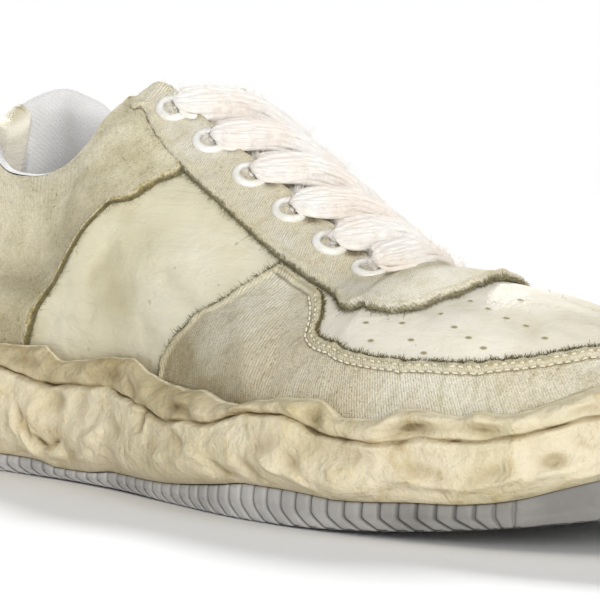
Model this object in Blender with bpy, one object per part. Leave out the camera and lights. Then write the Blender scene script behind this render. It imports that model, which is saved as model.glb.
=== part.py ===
"""Worn out low sneaker, right foot, standing empty on its sole.

Metres, +Z up, +X to the toe, +Y to the inner (medial) side.
The floor is z = 0 and the sole's heel and ball rest on it.
The forms are worked out from the rear of the sole, then moved so that the
origin is the middle of the heel's flat rest.
"""
import bpy
import bmesh
import numpy as np
from math import cos, pi, radians, sin
from mathutils import Matrix, Vector

# Driving sizes
SOLE_LENGTH = 0.300        # outsole, heel to toe
BALL_WIDTH = 0.111         # outsole across the ball
INSTEP_HEIGHT = 0.116      # floor to the top of the throat
SOLE_HEIGHT = 0.038        # floor to the rim of the midsole at the waist
UPPER_WALL = 0.0018
OVERLAY_WALL = 0.0012
EYESTAY_WALL = 0.0015
COLLAR_PAD = 0.0065
TONGUE_WALL = 0.0040
INSOLE_WALL = 0.0040
CUP_DEPTH = 0.0150         # rim down to the floor of the cup
GROOVE_DEPTH = 0.0022
MASS_BULGE = 0.0050
OUTSOLE_INSET = 0.0030     # tread outline inside the midsole's lower lip
RIB_PITCH = 0.0055
RIB_DEPTH = 0.0011
RIB_SLANT = 0.0030
RIBBED_SHARE = 0.86        # of each side's edge from the heel; the toe bumper is plain
EYELET_HOLE = 0.0050
EYELET_RING = 0.0094
EYELET_LIFT = 0.0012
EYELET_COUNT = 6
EYELET_TURNS = 8           # flats of an eyelet's ring
LACE_WIDTH = 0.0125
LACE_THICKNESS = 0.0070
GAP = 0.0003
HEEL_REST = 0.16           # share of SOLE_LENGTH, rear of the sole to the middle of its rest
CUP_CLEARANCE = 0.0008     # cup's wall to the face of an overlay
FEATHER_INSET = 0.0050     # upper's foot inside the tread outline
HEEL_TUCK = 0.0040         # more inset at the rear of the heel
TOE_TUCK = 0.0030          # more inset at the toe
TUCK_SHARE = 0.16          # of a side's edge that each tuck takes
WALL_LEAN = 9.0            # the wall's lean outward at its foot, in degrees
CUT_IN = 0.0030            # how far an overlay's cutter reaches into the upper
CUT_OUT = 0.0050           # and how far out of it
LACE_ARCH = 0.0050         # rise of a bar over the tongue
BARREL_WALL = 0.0004       # of an eyelet's tube
COLLAR_FRONT = 0.370       # share along the edge where the padding ends

PER_ROW = 24               # steps of the smooth outline to each row of OUTLINE

# Sole outline, heel rear round the outer side to the toe and back.
# along: share of SOLE_LENGTH, across: share of BALL_WIDTH
OUTLINE = [
    (0.000, 0.000),
    (0.020, -0.200),
    (0.090, -0.335),
    (0.200, -0.367),
    (0.320, -0.352),
    (0.430, -0.377),
    (0.540, -0.450),
    (0.650, -0.520),
    (0.750, -0.517),
    (0.840, -0.440),
    (0.915, -0.315),
    (0.975, -0.140),
    (1.000, 0.050),
    (0.980, 0.215),
    (0.925, 0.350),
    (0.850, 0.440),
    (0.760, 0.482),
    (0.660, 0.468),
    (0.550, 0.392),
    (0.430, 0.318),
    (0.320, 0.308),
    (0.200, 0.335),
    (0.090, 0.317),
    (0.020, 0.195),
]
TOE_POINT = 12

# The sole's side, by share of the way from heel to toe along its edge.
# lift: floor to tread; tread: height of the rubber; groove and rim: heights of
# the crack and the rim's top; all are shares of SOLE_HEIGHT
SOLE_SIDE = [
    # share, lift, tread, groove, rim
    (0.00, 0.070, 0.140, 0.860, 1.080),
    (0.08, 0.000, 0.105, 0.870, 1.070),
    (0.16, 0.000, 0.085, 0.850, 1.050),
    (0.24, 0.000, 0.080, 0.800, 0.990),
    (0.30, 0.000, 0.105, 0.790, 0.960),
    (0.38, 0.010, 0.150, 0.740, 0.950),
    (0.46, 0.010, 0.190, 0.640, 0.850),
    (0.54, 0.000, 0.215, 0.700, 0.880),
    (0.62, 0.000, 0.225, 0.720, 0.890),
    (0.70, 0.015, 0.190, 0.680, 0.870),
    (0.78, 0.065, 0.170, 0.710, 0.895),
    (0.86, 0.150, 0.190, 0.790, 0.965),
    (0.93, 0.250, 0.240, 0.930, 1.110),
    (1.00, 0.370, 0.260, 1.060, 1.240),
]

# The upper's top edge: collar, throat and then the ridge of the vamp.
# share of the way along the edge of the sole, along / SOLE_LENGTH,
# across / BALL_WIDTH, height / INSTEP_HEIGHT, and the wall's turn there
# from upright, in degrees
TOP_EDGE = [
    (0.000, 0.073, 0.000, 0.870, 12),
    (0.020, 0.075, 0.038, 0.878, 12),
    (0.060, 0.085, 0.105, 0.940, 14),
    (0.110, 0.112, 0.182, 0.978, 16),
    (0.160, 0.150, 0.240, 0.942, 18),
    (0.210, 0.190, 0.285, 0.848, 18),
    (0.255, 0.228, 0.308, 0.765, 18),
    (0.295, 0.265, 0.312, 0.747, 20),
    (0.325, 0.300, 0.303, 0.758, 24),
    (0.348, 0.325, 0.284, 0.795, 30),
    (0.365, 0.340, 0.256, 0.850, 36),
    (0.380, 0.349, 0.230, 0.905, 42),
    (0.398, 0.363, 0.185, 0.957, 50),
    (0.420, 0.383, 0.113, 1.000, 58),
    (0.470, 0.437, 0.105, 0.915, 62),
    (0.535, 0.517, 0.095, 0.795, 66),
    (0.600, 0.600, 0.082, 0.672, 70),
    (0.650, 0.665, 0.065, 0.584, 75),
    (0.675, 0.692, 0.038, 0.573, 82),
    (0.690, 0.703, 0.000, 0.580, 90),
    (0.760, 0.748, 0.004, 0.578, 90),
    (0.840, 0.800, 0.012, 0.566, 90),
    (0.920, 0.843, 0.020, 0.546, 90),
    (1.000, 0.880, 0.026, 0.520, 90),
]
TOP_CORNERS = (13, 19)
THROAT_END = 0.690
THROAT_CORNER = 0.420

# Overlay outlines on the wall of the upper: share along the edge of the sole
# and share of the way up the wall, for the lower and the upper edge.
MUDGUARD = [
    # low share, low up, high share, high up
    (0.500, 0.100, 0.600, 0.725),
    (0.525, 0.100, 0.625, 0.715),
    (0.560, 0.100, 0.645, 0.690),
    (0.600, 0.100, 0.658, 0.590),
    (0.630, 0.100, 0.667, 0.520),
    (0.660, 0.100, 0.682, 0.460),
    (0.700, 0.100, 0.715, 0.400),
    (0.750, 0.100, 0.755, 0.388),
    (0.810, 0.100, 0.812, 0.413),
    (0.870, 0.100, 0.872, 0.465),
    (0.925, 0.100, 0.925, 0.525),
    (1.000, 0.100, 1.000, 0.550),
]
# Front edge of the ankle panel: share of the way up the wall, share along
ANKLE_FRONT = [
    (0.100, 0.305),
    (0.300, 0.322),
    (0.440, 0.346),
    (0.530, 0.420),
    (0.640, 0.460),
    (0.785, 0.470),
    (0.870, 0.408),
    (0.970, 0.389),
]
EYESTAY = [
    # outer share, outer up, inner share, inner up
    (0.403, 0.940, 0.412, 0.985),
    (0.417, 0.880, 0.430, 0.985),
    (0.450, 0.832, 0.460, 0.985),
    (0.500, 0.802, 0.505, 0.985),
    (0.560, 0.765, 0.560, 0.985),
    (0.610, 0.737, 0.605, 0.985),
    (0.648, 0.715, 0.635, 0.985),
    (0.675, 0.640, 0.652, 0.985),
    (0.710, 0.590, 0.666, 0.985),
    (0.745, 0.605, 0.677, 0.987),
    (0.775, 0.720, 0.686, 0.992),
    (0.800, 0.860, 0.693, 0.997),
    (0.812, 1.000, 0.700, 1.000),
]
# Eyelets, ankle to toe: share along, share up
EYELETS = [
    (0.445, 0.935),
    (0.490, 0.930),
    (0.533, 0.922),
    (0.575, 0.912),
    (0.614, 0.905),
    (0.650, 0.905),
]


def closed_curve(points, steps):
    """Smooth closed curve through points, steps to each span."""
    p = np.array(points, float)
    n = len(p)
    spans = []
    t = np.linspace(0.0, 1.0, steps, endpoint=False)[:, None]
    for i in range(n):
        a, b, c, d = p[i - 1], p[i], p[(i + 1) % n], p[(i + 2) % n]
        k1 = np.linalg.norm(b - a) ** 0.5
        k2 = np.linalg.norm(c - b) ** 0.5
        k3 = np.linalg.norm(d - c) ** 0.5
        m1 = ((b - a) / k1 - (c - a) / (k1 + k2) + (c - b) / k2) * k2
        m2 = ((c - b) / k2 - (d - b) / (k2 + k3) + (d - c) / k3) * k2
        spans.append((2*t**3 - 3*t**2 + 1) * b + (t**3 - 2*t**2 + t) * m1
                     + (3*t**2 - 2*t**3) * c + (t**3 - t**2) * m2)
    return np.concatenate(spans)


def read_row(table, share, column, corners=(), level_ends=False):
    """Smooth value of a table's column; a corner breaks the slope."""
    x = [row[0] for row in table]
    y = [row[column] for row in table]
    cuts = [0, *corners, len(x) - 1]
    for first, last in zip(cuts[:-1], cuts[1:]):
        if share <= x[last] or last == cuts[-1]:
            break
    xs = np.array(x[first:last + 1], float)
    ys = np.array(y[first:last + 1], float)
    slopes = np.diff(ys) / np.diff(xs)
    if len(xs) > 2:
        m = np.gradient(ys, xs)
        flat = slopes[:-1] * slopes[1:] <= 0
        m[1:-1][flat] = 0.0
    else:
        m = np.full(2, slopes[0])
    if level_ends:
        m[0] = 0.0
        m[-1] = 0.0
    share = min(max(share, xs[0]), xs[-1])
    k = int(min(max(np.searchsorted(xs, share, side="right") - 1, 0), len(xs) - 2))
    h = xs[k + 1] - xs[k]
    t = (share - xs[k]) / h
    return float((2*t**3 - 3*t**2 + 1) * ys[k] + (t**3 - 2*t**2 + t) * h * m[k]
                 + (3*t**2 - 2*t**3) * ys[k + 1] + (t**3 - t**2) * h * m[k + 1])


def sole_halves():
    """Outer and inner edge of the sole, heel to toe, with arc shares."""
    points = [(a * SOLE_LENGTH, c * BALL_WIDTH) for a, c in OUTLINE]
    loop = closed_curve(points, PER_ROW)
    toe = TOE_POINT * PER_ROW
    outer = loop[:toe + 1]
    inner = np.concatenate([loop[toe:], loop[:1]])[::-1]
    halves = {}
    for side, edge in ((-1, outer), (1, inner)):
        arc = np.concatenate([[0.0], np.cumsum(np.linalg.norm(np.diff(edge, axis=0), axis=1))])
        halves[side] = (edge, arc / arc[-1], arc[-1])
    return halves


HALVES = sole_halves()


def sole_edge(side, share, outward=0.0):
    """Plan point on the edge of the sole, moved outward, and the way out."""
    edge, arc, _ = HALVES[side]
    step = 0.004

    def at(s):
        if s < 0.0:
            x, y = at(-s)
            return x, y if side * y < 0 else -y
        s = min(s, 1.0)
        return np.interp(s, arc, edge[:, 0]), np.interp(s, arc, edge[:, 1])

    here = np.array(at(share))
    if share < step:
        way = np.array([0.0, side * 1.0])
        if share > 0.0:
            way = np.array(at(share + step)) - here
    elif share > 1.0 - step:
        way = np.array([0.0, -side * 1.0])
        if share < 1.0:
            way = here - np.array(at(share - step))
    else:
        way = np.array(at(share + step)) - np.array(at(share - step))
    way = way / np.linalg.norm(way)
    out = np.array([-way[1], way[0]]) * side
    return here + out * outward, out


def sole_z(share, column):
    """Height of one of the sole's lines; the two sides meet level at heel and toe."""
    return read_row(SOLE_SIDE, share, column, level_ends=True) * SOLE_HEIGHT


def tread_top(share):
    return sole_z(share, 1) + sole_z(share, 2)


def cup_floor(share):
    return sole_z(share, 4) - CUP_DEPTH


def feather(share):
    """Inset of the upper's foot from the tread outline."""
    heel = max(0.0, 1.0 - (share / TUCK_SHARE) ** 2)
    toe = max(0.0, 1.0 - ((1.0 - share) / TUCK_SHARE) ** 2)
    return FEATHER_INSET + HEEL_TUCK * heel + TOE_TUCK * toe


def wall_point(side, share, up):
    """Point of the upper's outer face; up runs 0 at its foot to 1 at its top edge."""
    foot_xy, out = sole_edge(side, share, -feather(share))
    foot = np.array([foot_xy[0], foot_xy[1], cup_floor(share) + GAP])
    row = [read_row(TOP_EDGE, share, c, TOP_CORNERS) for c in (1, 2, 3, 4)]
    across = side * row[1] * BALL_WIDTH
    if share >= THROAT_END:
        across = row[1] * BALL_WIDTH
    top = np.array([row[0] * SOLE_LENGTH, across, row[2] * INSTEP_HEIGHT])
    chord = np.linalg.norm(top - foot)
    level = (top - foot) * (1.0, 1.0, 0.0) - 0.5 * BALL_WIDTH * np.array([out[0], out[1], 0.0])
    level = level / np.linalg.norm(level)
    lean = radians(WALL_LEAN)
    turn = radians(row[3])
    rise = np.array([out[0] * sin(lean), out[1] * sin(lean), cos(lean)])
    come = level * sin(turn) + np.array([0.0, 0.0, cos(turn)])
    reach = 0.40 + 0.10 * max(0.0, (share - 0.60) / 0.40)
    p1 = foot + rise * chord * 0.36
    p2 = top - come * chord * reach
    t = up
    return ((1-t)**3) * foot + 3*(1-t)**2*t * p1 + 3*(1-t)*t*t * p2 + t**3 * top


def wall_frame(side, share, up, outward=0.0):
    """Point moved along the outward normal of the upper's outer face."""
    e = 0.003
    s0 = max(share - e, 0.0)
    s1 = min(share + e, 1.0)
    u0 = up - e
    u1 = up + e
    here = wall_point(side, share, up)
    rise = wall_point(side, share, u1) - wall_point(side, share, u0)
    if share < e:
        ahead = wall_point(1, e, up) - wall_point(-1, e, up)
        along = ahead * side
    elif share > 1.0 - e:
        ahead = wall_point(-1, 1.0 - e, up) - wall_point(1, 1.0 - e, up)
        along = ahead * side
    else:
        along = wall_point(side, s1, up) - wall_point(side, s0, up)
    normal = np.cross(rise, along) * side
    size = np.linalg.norm(normal)
    normal = normal / size if size > 1e-12 else np.array([0.0, 0.0, 1.0])
    if share > THROAT_END and up > 0.93:
        normal[1] *= 1.0 - min((up - 0.93) / 0.07, 1.0)
        normal = normal / np.linalg.norm(normal)
    return here + normal * outward, normal


def material(name, colour, roughness, metallic=0.0):
    mat = bpy.data.materials.new(name)
    mat.use_nodes = True
    shader = mat.node_tree.nodes["Principled BSDF"]
    shader.inputs["Base Color"].default_value = (*colour, 1.0)
    shader.inputs["Roughness"].default_value = roughness
    shader.inputs["Metallic"].default_value = metallic
    mat.diffuse_color = (*colour, 1.0)
    return mat


def place(name, verts, faces, mat, collection, smooth=50.0):
    """Object from a loft's points, its faces turned outward."""
    mesh = bpy.data.meshes.new(name)
    mesh.from_pydata([tuple(v) for v in verts], [], faces)
    bm = bmesh.new()
    bm.from_mesh(mesh)
    bmesh.ops.remove_doubles(bm, verts=bm.verts, dist=0.00002)
    bmesh.ops.dissolve_degenerate(bm, dist=0.00001, edges=bm.edges)
    bmesh.ops.triangulate(bm, faces=[f for f in bm.faces if len(f.verts) > 3])
    bmesh.ops.recalc_face_normals(bm, faces=bm.faces)
    bm.to_mesh(mesh)
    bm.free()
    mesh.materials.append(mat)
    mesh.shade_smooth()
    mesh.set_sharp_from_angle(angle=radians(smooth))
    obj = bpy.data.objects.new(name, mesh)
    collection.objects.link(obj)
    return obj


def ring_solid(rings):
    """Skin between closed rings, with a ladder of faces across the shoe at each end."""
    n = len(rings[0])
    verts = [p for ring in rings for p in ring]
    faces = []
    for r in range(len(rings) - 1):
        for i in range(n):
            j = (i + 1) % n
            faces.append((r*n + i, r*n + j, (r+1)*n + j))
            faces.append((r*n + i, (r+1)*n + j, (r+1)*n + i))
    half = n // 2
    for base in (0, (len(rings) - 1) * n):
        for i in range(half):
            a, b = base + i, base + i + 1
            c, d = base + (n - i - 1) % n, base + (n - i) % n
            loop = []
            for index in (a, b, c, d):
                if index not in loop:
                    loop.append(index)
            if len(loop) > 2:
                faces.append(tuple(loop))
    return verts, faces


def make_outsole(mat, collection):
    """Ribbed tread rubber: slanted grooves round the side, a plain toe bumper."""
    mean_length = (HALVES[-1][2] + HALVES[1][2]) / 2
    ribs = int(round(mean_length * RIBBED_SHARE / RIB_PITCH))
    step = RIBBED_SHARE / ribs
    marks = [(0.0, 0.0)]
    for k in range(ribs):
        if k:
            marks.append(((k + 0.12) * step, 0.0))
        marks += [((k + 0.70) * step, 0.0), ((k + 0.91) * step, 1.0)]
    marks += [(RIBBED_SHARE + (1.0 - RIBBED_SHARE) * (k + 0.3) / 8.3, 0.0) for k in range(9)]
    path = [(-1, *m) for m in marks] + [(1, *m) for m in marks[-2:0:-1]]
    rings = []
    for height, inward, deep, slant in ((0.0, 0.0010, 0.8, 1.0), (0.5, 0.0, 1.0, 0.0), (1.0, 0.0003, 0.8, 0.0)):
        ring = []
        for side, share, valley in path:
            fade = min(max((RIBBED_SHARE - share) / 0.04, 0.0), 1.0) * min(share / 0.04, 1.0)
            moved = share + RIB_SLANT * slant * fade / HALVES[side][2]
            cut = RIB_DEPTH * deep * valley * min(share / 0.09, 1.0) ** 2
            point, _ = sole_edge(side, moved, -inward - cut)
            low = sole_z(moved, 1)
            high = tread_top(moved) - GAP
            ring.append((point[0], point[1], low + (high - low) * height))
        rings.append(ring)
    return place("outsole", *ring_solid(rings), mat, collection, 30.0)


# The midsole's side: how far out, as a share of MASS_BULGE, and how far up,
# between the tread and the groove (below) or groove and rim (above)
MIDSOLE_LOW = [(-0.60, 0.00), (0.55, 0.05), (0.95, 0.20), (1.00, 0.42), (0.72, 0.66), (0.50, 0.88)]
MIDSOLE_HIGH = [(0.45, 0.25), (0.62, 0.55), (0.45, 0.86)]


def lump(side, share, level):
    """Slow swelling of the soft rubber along the sole, from -1 to 1."""
    return 0.55 * sin(share * 23.0 + level * 2.1 + side) + 0.45 * sin(share * 41.0 + level * 3.7)


def make_midsole(mat, collection):
    """Cup of soft lumpy rubber: heavy lower mass, crack, rim band, open cup."""
    marks = upper_stations()
    stations = [(-1, s) for s in marks] + [(1, s) for s in marks[-2:0:-1]]
    rings = []
    for level, (out, up) in enumerate(MIDSOLE_LOW):
        ring = []
        for side, share in stations:
            low = tread_top(share)
            high = sole_z(share, 3)
            swell = 1.0 + 0.22 * lump(side, share, level) * (0 < level)
            point, _ = sole_edge(side, share, OUTSOLE_INSET * (out > 0) + MASS_BULGE * out * swell * 0.6)
            ring.append((point[0], point[1], low + (high - low) * up))
        rings.append(ring)
    ring = []
    for side, share in stations:
        point, _ = sole_edge(side, share, OUTSOLE_INSET - GROOVE_DEPTH)
        ring.append((point[0], point[1], sole_z(share, 3)))
    rings.append(ring)
    for level, (out, up) in enumerate(MIDSOLE_HIGH):
        ring = []
        for side, share in stations:
            low = sole_z(share, 3)
            high = sole_z(share, 4)
            swell = 1.0 + 0.25 * lump(side, share, level + 7)
            point, _ = sole_edge(side, share, OUTSOLE_INSET + MASS_BULGE * out * swell * 0.5)
            ring.append((point[0], point[1], low + (high - low) * up))
        rings.append(ring)
    ring = []
    for side, share in stations:
        point, _ = sole_edge(side, share, OUTSOLE_INSET * 0.4)
        ring.append((point[0], point[1], sole_z(share, 4)))
    rings.append(ring)
    face = GAP + OVERLAY_WALL + CUP_CLEARANCE
    for level in (0.97, 0.5, 0.0):
        ring = []
        for side, share in stations:
            z = cup_floor(share) + CUP_DEPTH * level
            point, _ = wall_frame(side, share, up_at(side, share, z), face)
            ring.append((point[0], point[1], z))
        rings.append(ring)
    return place("midsole", *ring_solid(rings), mat, collection, 60.0)


def up_at(side, share, z):
    """Share of the way up the wall where it reaches a height."""
    ups = [0.02 * k for k in range(31)]
    return float(np.interp(z, [wall_point(side, share, up)[2] for up in ups], ups))


def upper_stations():
    """Shares along the sole's edge, closer at the collar's front and the throat's ends."""
    collar = [0.0, 0.030, 0.060, 0.090, 0.125, 0.160, 0.200, 0.240, 0.280, 0.315, 0.345, 0.370, 0.395]
    throat = [THROAT_CORNER, 0.465, 0.515, 0.565, 0.610, 0.645, 0.668, THROAT_END]
    vamp = [0.740, 0.795, 0.850, 0.890, 0.920, 0.945, 0.970, 1.0]
    return collar + throat + vamp


WALL_LEVELS = [0.0, 0.13, 0.28, 0.44, 0.60, 0.75, 0.88, 1.0]


def make_wall(name, outer, inner, mat, collection):
    """Hollow wall between two distances from the upper's face: collar and throat
    open, and open underneath."""
    marks = upper_stations()
    ring_marks = [(-1, s) for s in marks] + [(1, s) for s in marks[-2:0:-1]]
    n = len(ring_marks)
    last = len(WALL_LEVELS) - 1
    verts = []
    index = {}

    def key_of(layer, r, i):
        side, share = ring_marks[i % n]
        ridge = share >= THROAT_END and r == last
        return layer, r, -1 if ridge else side, share

    for layer, depth in ((0, outer), (1, inner)):
        for r, up in enumerate(WALL_LEVELS):
            for i in range(n):
                key = key_of(layer, r, i)
                if key in index:
                    continue
                side, share = key[2], key[3]
                if share >= THROAT_END and r == last:
                    point = wall_point(-1, share, 1.0) + np.array([0.0, 0.0, depth])
                else:
                    point, _ = wall_frame(side, share, up, depth)
                if r == 0:
                    point[2] = cup_floor(share) + GAP
                index[key] = len(verts)
                verts.append(point)

    def vert(layer, r, i):
        return index[key_of(layer, r, i)]

    faces = []
    for r in range(last):
        for i in range(n):
            front = [vert(0, r, i), vert(0, r, i + 1), vert(0, r + 1, i + 1), vert(0, r + 1, i)]
            back = [vert(1, r, i), vert(1, r + 1, i), vert(1, r + 1, i + 1), vert(1, r, i + 1)]
            for loop in (front, back):
                loop = list(dict.fromkeys(loop))
                if len(loop) > 2:
                    faces.append(tuple(loop))
    for i in range(n):
        faces.append((vert(0, 0, i + 1), vert(0, 0, i), vert(1, 0, i), vert(1, 0, i + 1)))
        if max(ring_marks[i % n][1], ring_marks[(i + 1) % n][1]) <= THROAT_END:
            faces.append((vert(0, last, i), vert(0, last, i + 1), vert(1, last, i + 1), vert(1, last, i)))
    return place(name, verts, faces, mat, collection, 40.0)


def patch_solid(columns, rows, spot, near, far):
    """Closed slab of the upper's own form between two distances from its face."""
    verts = []
    for layer in (0, 1):
        for c in columns:
            for r in range(rows + 1):
                side, share, up, ridge = spot(c, r / rows)
                depth = far(c, r / rows) if layer else near(c, r / rows)
                if ridge:
                    point = wall_point(-1, share, 1.0) + np.array([0.0, 0.0, depth])
                else:
                    point, _ = wall_frame(side, share, up, depth)
                verts.append(point)
    w = rows + 1
    m = len(columns)
    size = m * w
    faces = []
    for c in range(m - 1):
        for r in range(rows):
            a, b, d, e = c*w + r, (c+1)*w + r, (c+1)*w + r + 1, c*w + r + 1
            faces.append((a, b, d, e))
            faces.append((size + a, size + e, size + d, size + b))
        faces.append((c*w, size + c*w, size + (c+1)*w, (c+1)*w))
        top = c*w + rows
        faces.append((top, top + w, size + top + w, size + top))
    for r in range(rows):
        faces.append((r, r + 1, size + r + 1, size + r))
        far_end = (m - 1) * w + r
        faces.append((far_end, size + far_end, size + far_end + 1, far_end + 1))
    return verts, faces


def cut_overlay(name, wall, slab, mat, collection, cutters, seat=0.0):
    """Overlay cut from a wall that lies on the upper, by a slab of its outline."""
    obj = make_wall(name, GAP + seat + wall, GAP + seat, mat, collection)
    tool = place(f"{name}_outline", *slab, mat, cutters, 40.0)
    tool.hide_render = True
    tool.display_type = "WIRE"
    cut = obj.modifiers.new("outline", "BOOLEAN")
    cut.object = tool
    cut.operation = "INTERSECT"
    cut.solver = "EXACT"
    return obj


def table_slab(table, count, rows):
    """Slab over an edge table, outer side to inner side through its last row."""
    last = len(table) - 1
    numbered = [(k / last, *row) for k, row in enumerate(table)]
    half = [k / count for k in range(count + 1)]
    columns = [(-1, t) for t in half] + [(1, t) for t in half[-2::-1]]

    def spot(column, r):
        side, t = column
        low_share, low_up, high_share, high_up = [read_row(numbered, t, c) for c in (1, 2, 3, 4)]
        share = low_share + (high_share - low_share) * r
        up = low_up + (high_up - low_up) * r
        ridge = t == 1.0 and table[-1][0] < 1.0
        return side, share, up, ridge

    return patch_solid(columns, rows, spot, lambda c, r: -CUT_IN, lambda c, r: CUT_OUT)


def ankle_slab():
    """Slab of the ankle panel, level by level from one front edge to the other."""
    half = [k / 8 for k in range(9)]
    columns = [(-1, t) for t in half[::-1]] + [(1, t) for t in half[1:]]
    levels = [row[0] for row in ANKLE_FRONT]
    rows = len(levels) - 1

    def spot(column, r):
        side, t = column
        up = levels[int(round(r * rows))]
        return side, read_row(ANKLE_FRONT, up, 1) * t, up, False

    return patch_solid(columns, rows, spot, lambda c, r: -CUT_IN, lambda c, r: CUT_OUT)


def heel_tab_slab():
    columns = [(-1, 0.060), (-1, 0.030), (-1, 0.0), (1, 0.030), (1, 0.060)]

    def spot(column, r):
        return column[0], column[1] * (1.0 - 0.25 * r), 0.52 + 0.45 * r, False

    return patch_solid(columns, 5, spot, lambda c, r: -CUT_IN, lambda c, r: CUT_OUT + OVERLAY_WALL)


COLLAR_LEVELS = WALL_LEVELS[4:]
COLLAR_SWELL = [0.10, 0.85, 1.00, 0.35]   # share of COLLAR_PAD at each level


def make_collar(mat, collection):
    """Padded roll inside the collar, thin at its front ends and its lower edge."""
    half = [s for s in upper_stations() if s <= COLLAR_FRONT]
    columns = [(-1, s) for s in half[::-1]] + [(1, s) for s in half[1:]]
    rows = len(COLLAR_LEVELS) - 1
    behind = UPPER_WALL + GAP

    def spot(column, r):
        side, share = column
        return side, share, COLLAR_LEVELS[int(round(r * rows))], False

    def thick(column, r):
        end = min(1.0, (COLLAR_FRONT + 0.03 - column[1]) / 0.10)
        return -(behind + 0.0008 + COLLAR_PAD * COLLAR_SWELL[int(round(r * rows))] * end)

    verts, faces = patch_solid(columns, rows, spot, thick, lambda c, r: -behind)
    return place("collar_lining", verts, faces, mat, collection, 60.0)


def make_insole(mat, collection):
    """Foam sheet on the floor of the cup, inside the upper."""
    marks = upper_stations()
    stations = [(-1, s) for s in marks] + [(1, s) for s in marks[-2:0:-1]]
    rings = []
    for height in (0.0, INSOLE_WALL):
        ring = []
        for side, share in stations:
            z = cup_floor(share) + 2 * GAP + height
            point, _ = wall_frame(side, share, up_at(side, share, z), -(UPPER_WALL + 2 * GAP))
            ring.append((point[0], point[1], z - GAP))
        rings.append(ring)
    return place("insole", *ring_solid(rings), mat, collection, 30.0)


def make_tongue(mat, collection):
    """Padded sheet below the throat, from the vamp to the collar."""
    rows = [(0.735, 0.30), (0.690, 0.55), (0.640, 0.75), (0.580, 0.85), (0.510, 0.92), (0.450, 0.96), (0.405, 0.90)]
    across = 9
    verts = []
    for layer in (0, 1):
        for share, width in rows:
            s = min(share, THROAT_END - 0.004)
            left, _ = wall_frame(-1, s, 0.90, 0.0)
            right, _ = wall_frame(1, s, 0.90, 0.0)
            ridge = read_row(TOP_EDGE, share, 3, TOP_CORNERS) * INSTEP_HEIGHT
            x = read_row(TOP_EDGE, share, 1, TOP_CORNERS) * SOLE_LENGTH
            half = 0.5 * (right[1] - left[1]) * width
            middle = 0.5 * (right[1] + left[1])
            drop = UPPER_WALL + GAP + 0.0012 + layer * TONGUE_WALL
            for k in range(across):
                t = -1.0 + 2.0 * k / (across - 1)
                sag = 0.42 * half * t * t
                verts.append((x - 0.001, middle + half * t, ridge - drop - sag + 0.0005))
    w = across
    m = len(rows)
    size = w * m
    faces = []
    for c in range(m - 1):
        for r in range(w - 1):
            a, b, d, e = c*w + r, (c+1)*w + r, (c+1)*w + r + 1, c*w + r + 1
            faces.append((a, b, d, e))
            faces.append((size + a, size + e, size + d, size + b))
        faces.append((c*w, size + c*w, size + (c+1)*w, (c+1)*w))
        top = c*w + w - 1
        faces.append((top, top + w, size + top + w, size + top))
    for r in range(w - 1):
        faces.append((r, r + 1, size + r + 1, size + r))
        far_end = (m - 1) * w + r
        faces.append((far_end, size + far_end, size + far_end + 1, far_end + 1))
    return place("tongue", verts, faces, mat, collection, 40.0)


def eyelet_frame(side, number):
    """Centre on the eyestay's face, and its axes: across, along and outward."""
    share, up = EYELETS[number]
    centre, normal = wall_frame(side, share, up, GAP + EYESTAY_WALL + 2 * GAP)
    ahead = wall_point(side, share + 0.01, up) - wall_point(side, share - 0.01, up)
    along = ahead - normal * np.dot(ahead, normal)
    along = along / np.linalg.norm(along)
    across = np.cross(along, normal)
    return centre, across, along, normal


def eyelet_matrix(side, number):
    centre, across, along, normal = eyelet_frame(side, number)
    matrix = Matrix((across, along, normal)).transposed().to_4x4()
    matrix.translation = Vector(centre)
    return matrix


def make_eyelets(mat, collection):
    """Enamelled rings with a short barrel through eyestay and upper."""
    hole = EYELET_HOLE / 2
    ring = EYELET_RING / 2
    barrel = hole + BARREL_WALL
    down = EYESTAY_WALL + UPPER_WALL + GAP
    profile = [
        (hole, -down),
        (barrel, -down),
        (barrel, 0.0),
        (ring, 0.0),
        (ring - 0.0007, EYELET_LIFT),
        (hole + 0.0001, EYELET_LIFT * 0.80),
    ]
    turns = EYELET_TURNS
    verts = []
    faces = []
    count = len(profile)
    for k in range(turns):
        angle = 2 * pi * k / turns
        verts += [(r * cos(angle), r * sin(angle), z) for r, z in profile]
    for k in range(turns):
        for i in range(count):
            j = (i + 1) % count
            a, b = k * count, (k + 1) % turns * count
            faces.append((a + i, a + j, b + j, b + i))
    for side, word in ((-1, "outer"), (1, "inner")):
        for number in range(EYELET_COUNT):
            obj = place(f"eyelet_{word}_{number + 1}", verts, faces, mat, collection, 35.0)
            obj.matrix_world = eyelet_matrix(side, number)


def cut_eyelet_holes(targets, cutters):
    """Round holes for the barrels, through eyestay and upper."""
    tool = bmesh.new()
    radius = (EYELET_HOLE / 2 + BARREL_WALL + GAP) / cos(pi / EYELET_TURNS)
    for side in (-1, 1):
        for number in range(EYELET_COUNT):
            made = bmesh.ops.create_cone(tool, cap_ends=True, segments=EYELET_TURNS, radius1=radius,
                                         radius2=radius, depth=0.014)
            bmesh.ops.transform(tool, matrix=eyelet_matrix(side, number), verts=made["verts"])
    mesh = bpy.data.meshes.new("eyelet_holes")
    tool.to_mesh(mesh)
    tool.free()
    cutter = bpy.data.objects.new("eyelet_holes", mesh)
    cutters.objects.link(cutter)
    cutter.hide_render = True
    cutter.display_type = "WIRE"
    for obj in targets:
        cut = obj.modifiers.new("holes", "BOOLEAN")
        cut.object = cutter
        cut.operation = "DIFFERENCE"
        cut.solver = "EXACT"


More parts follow.
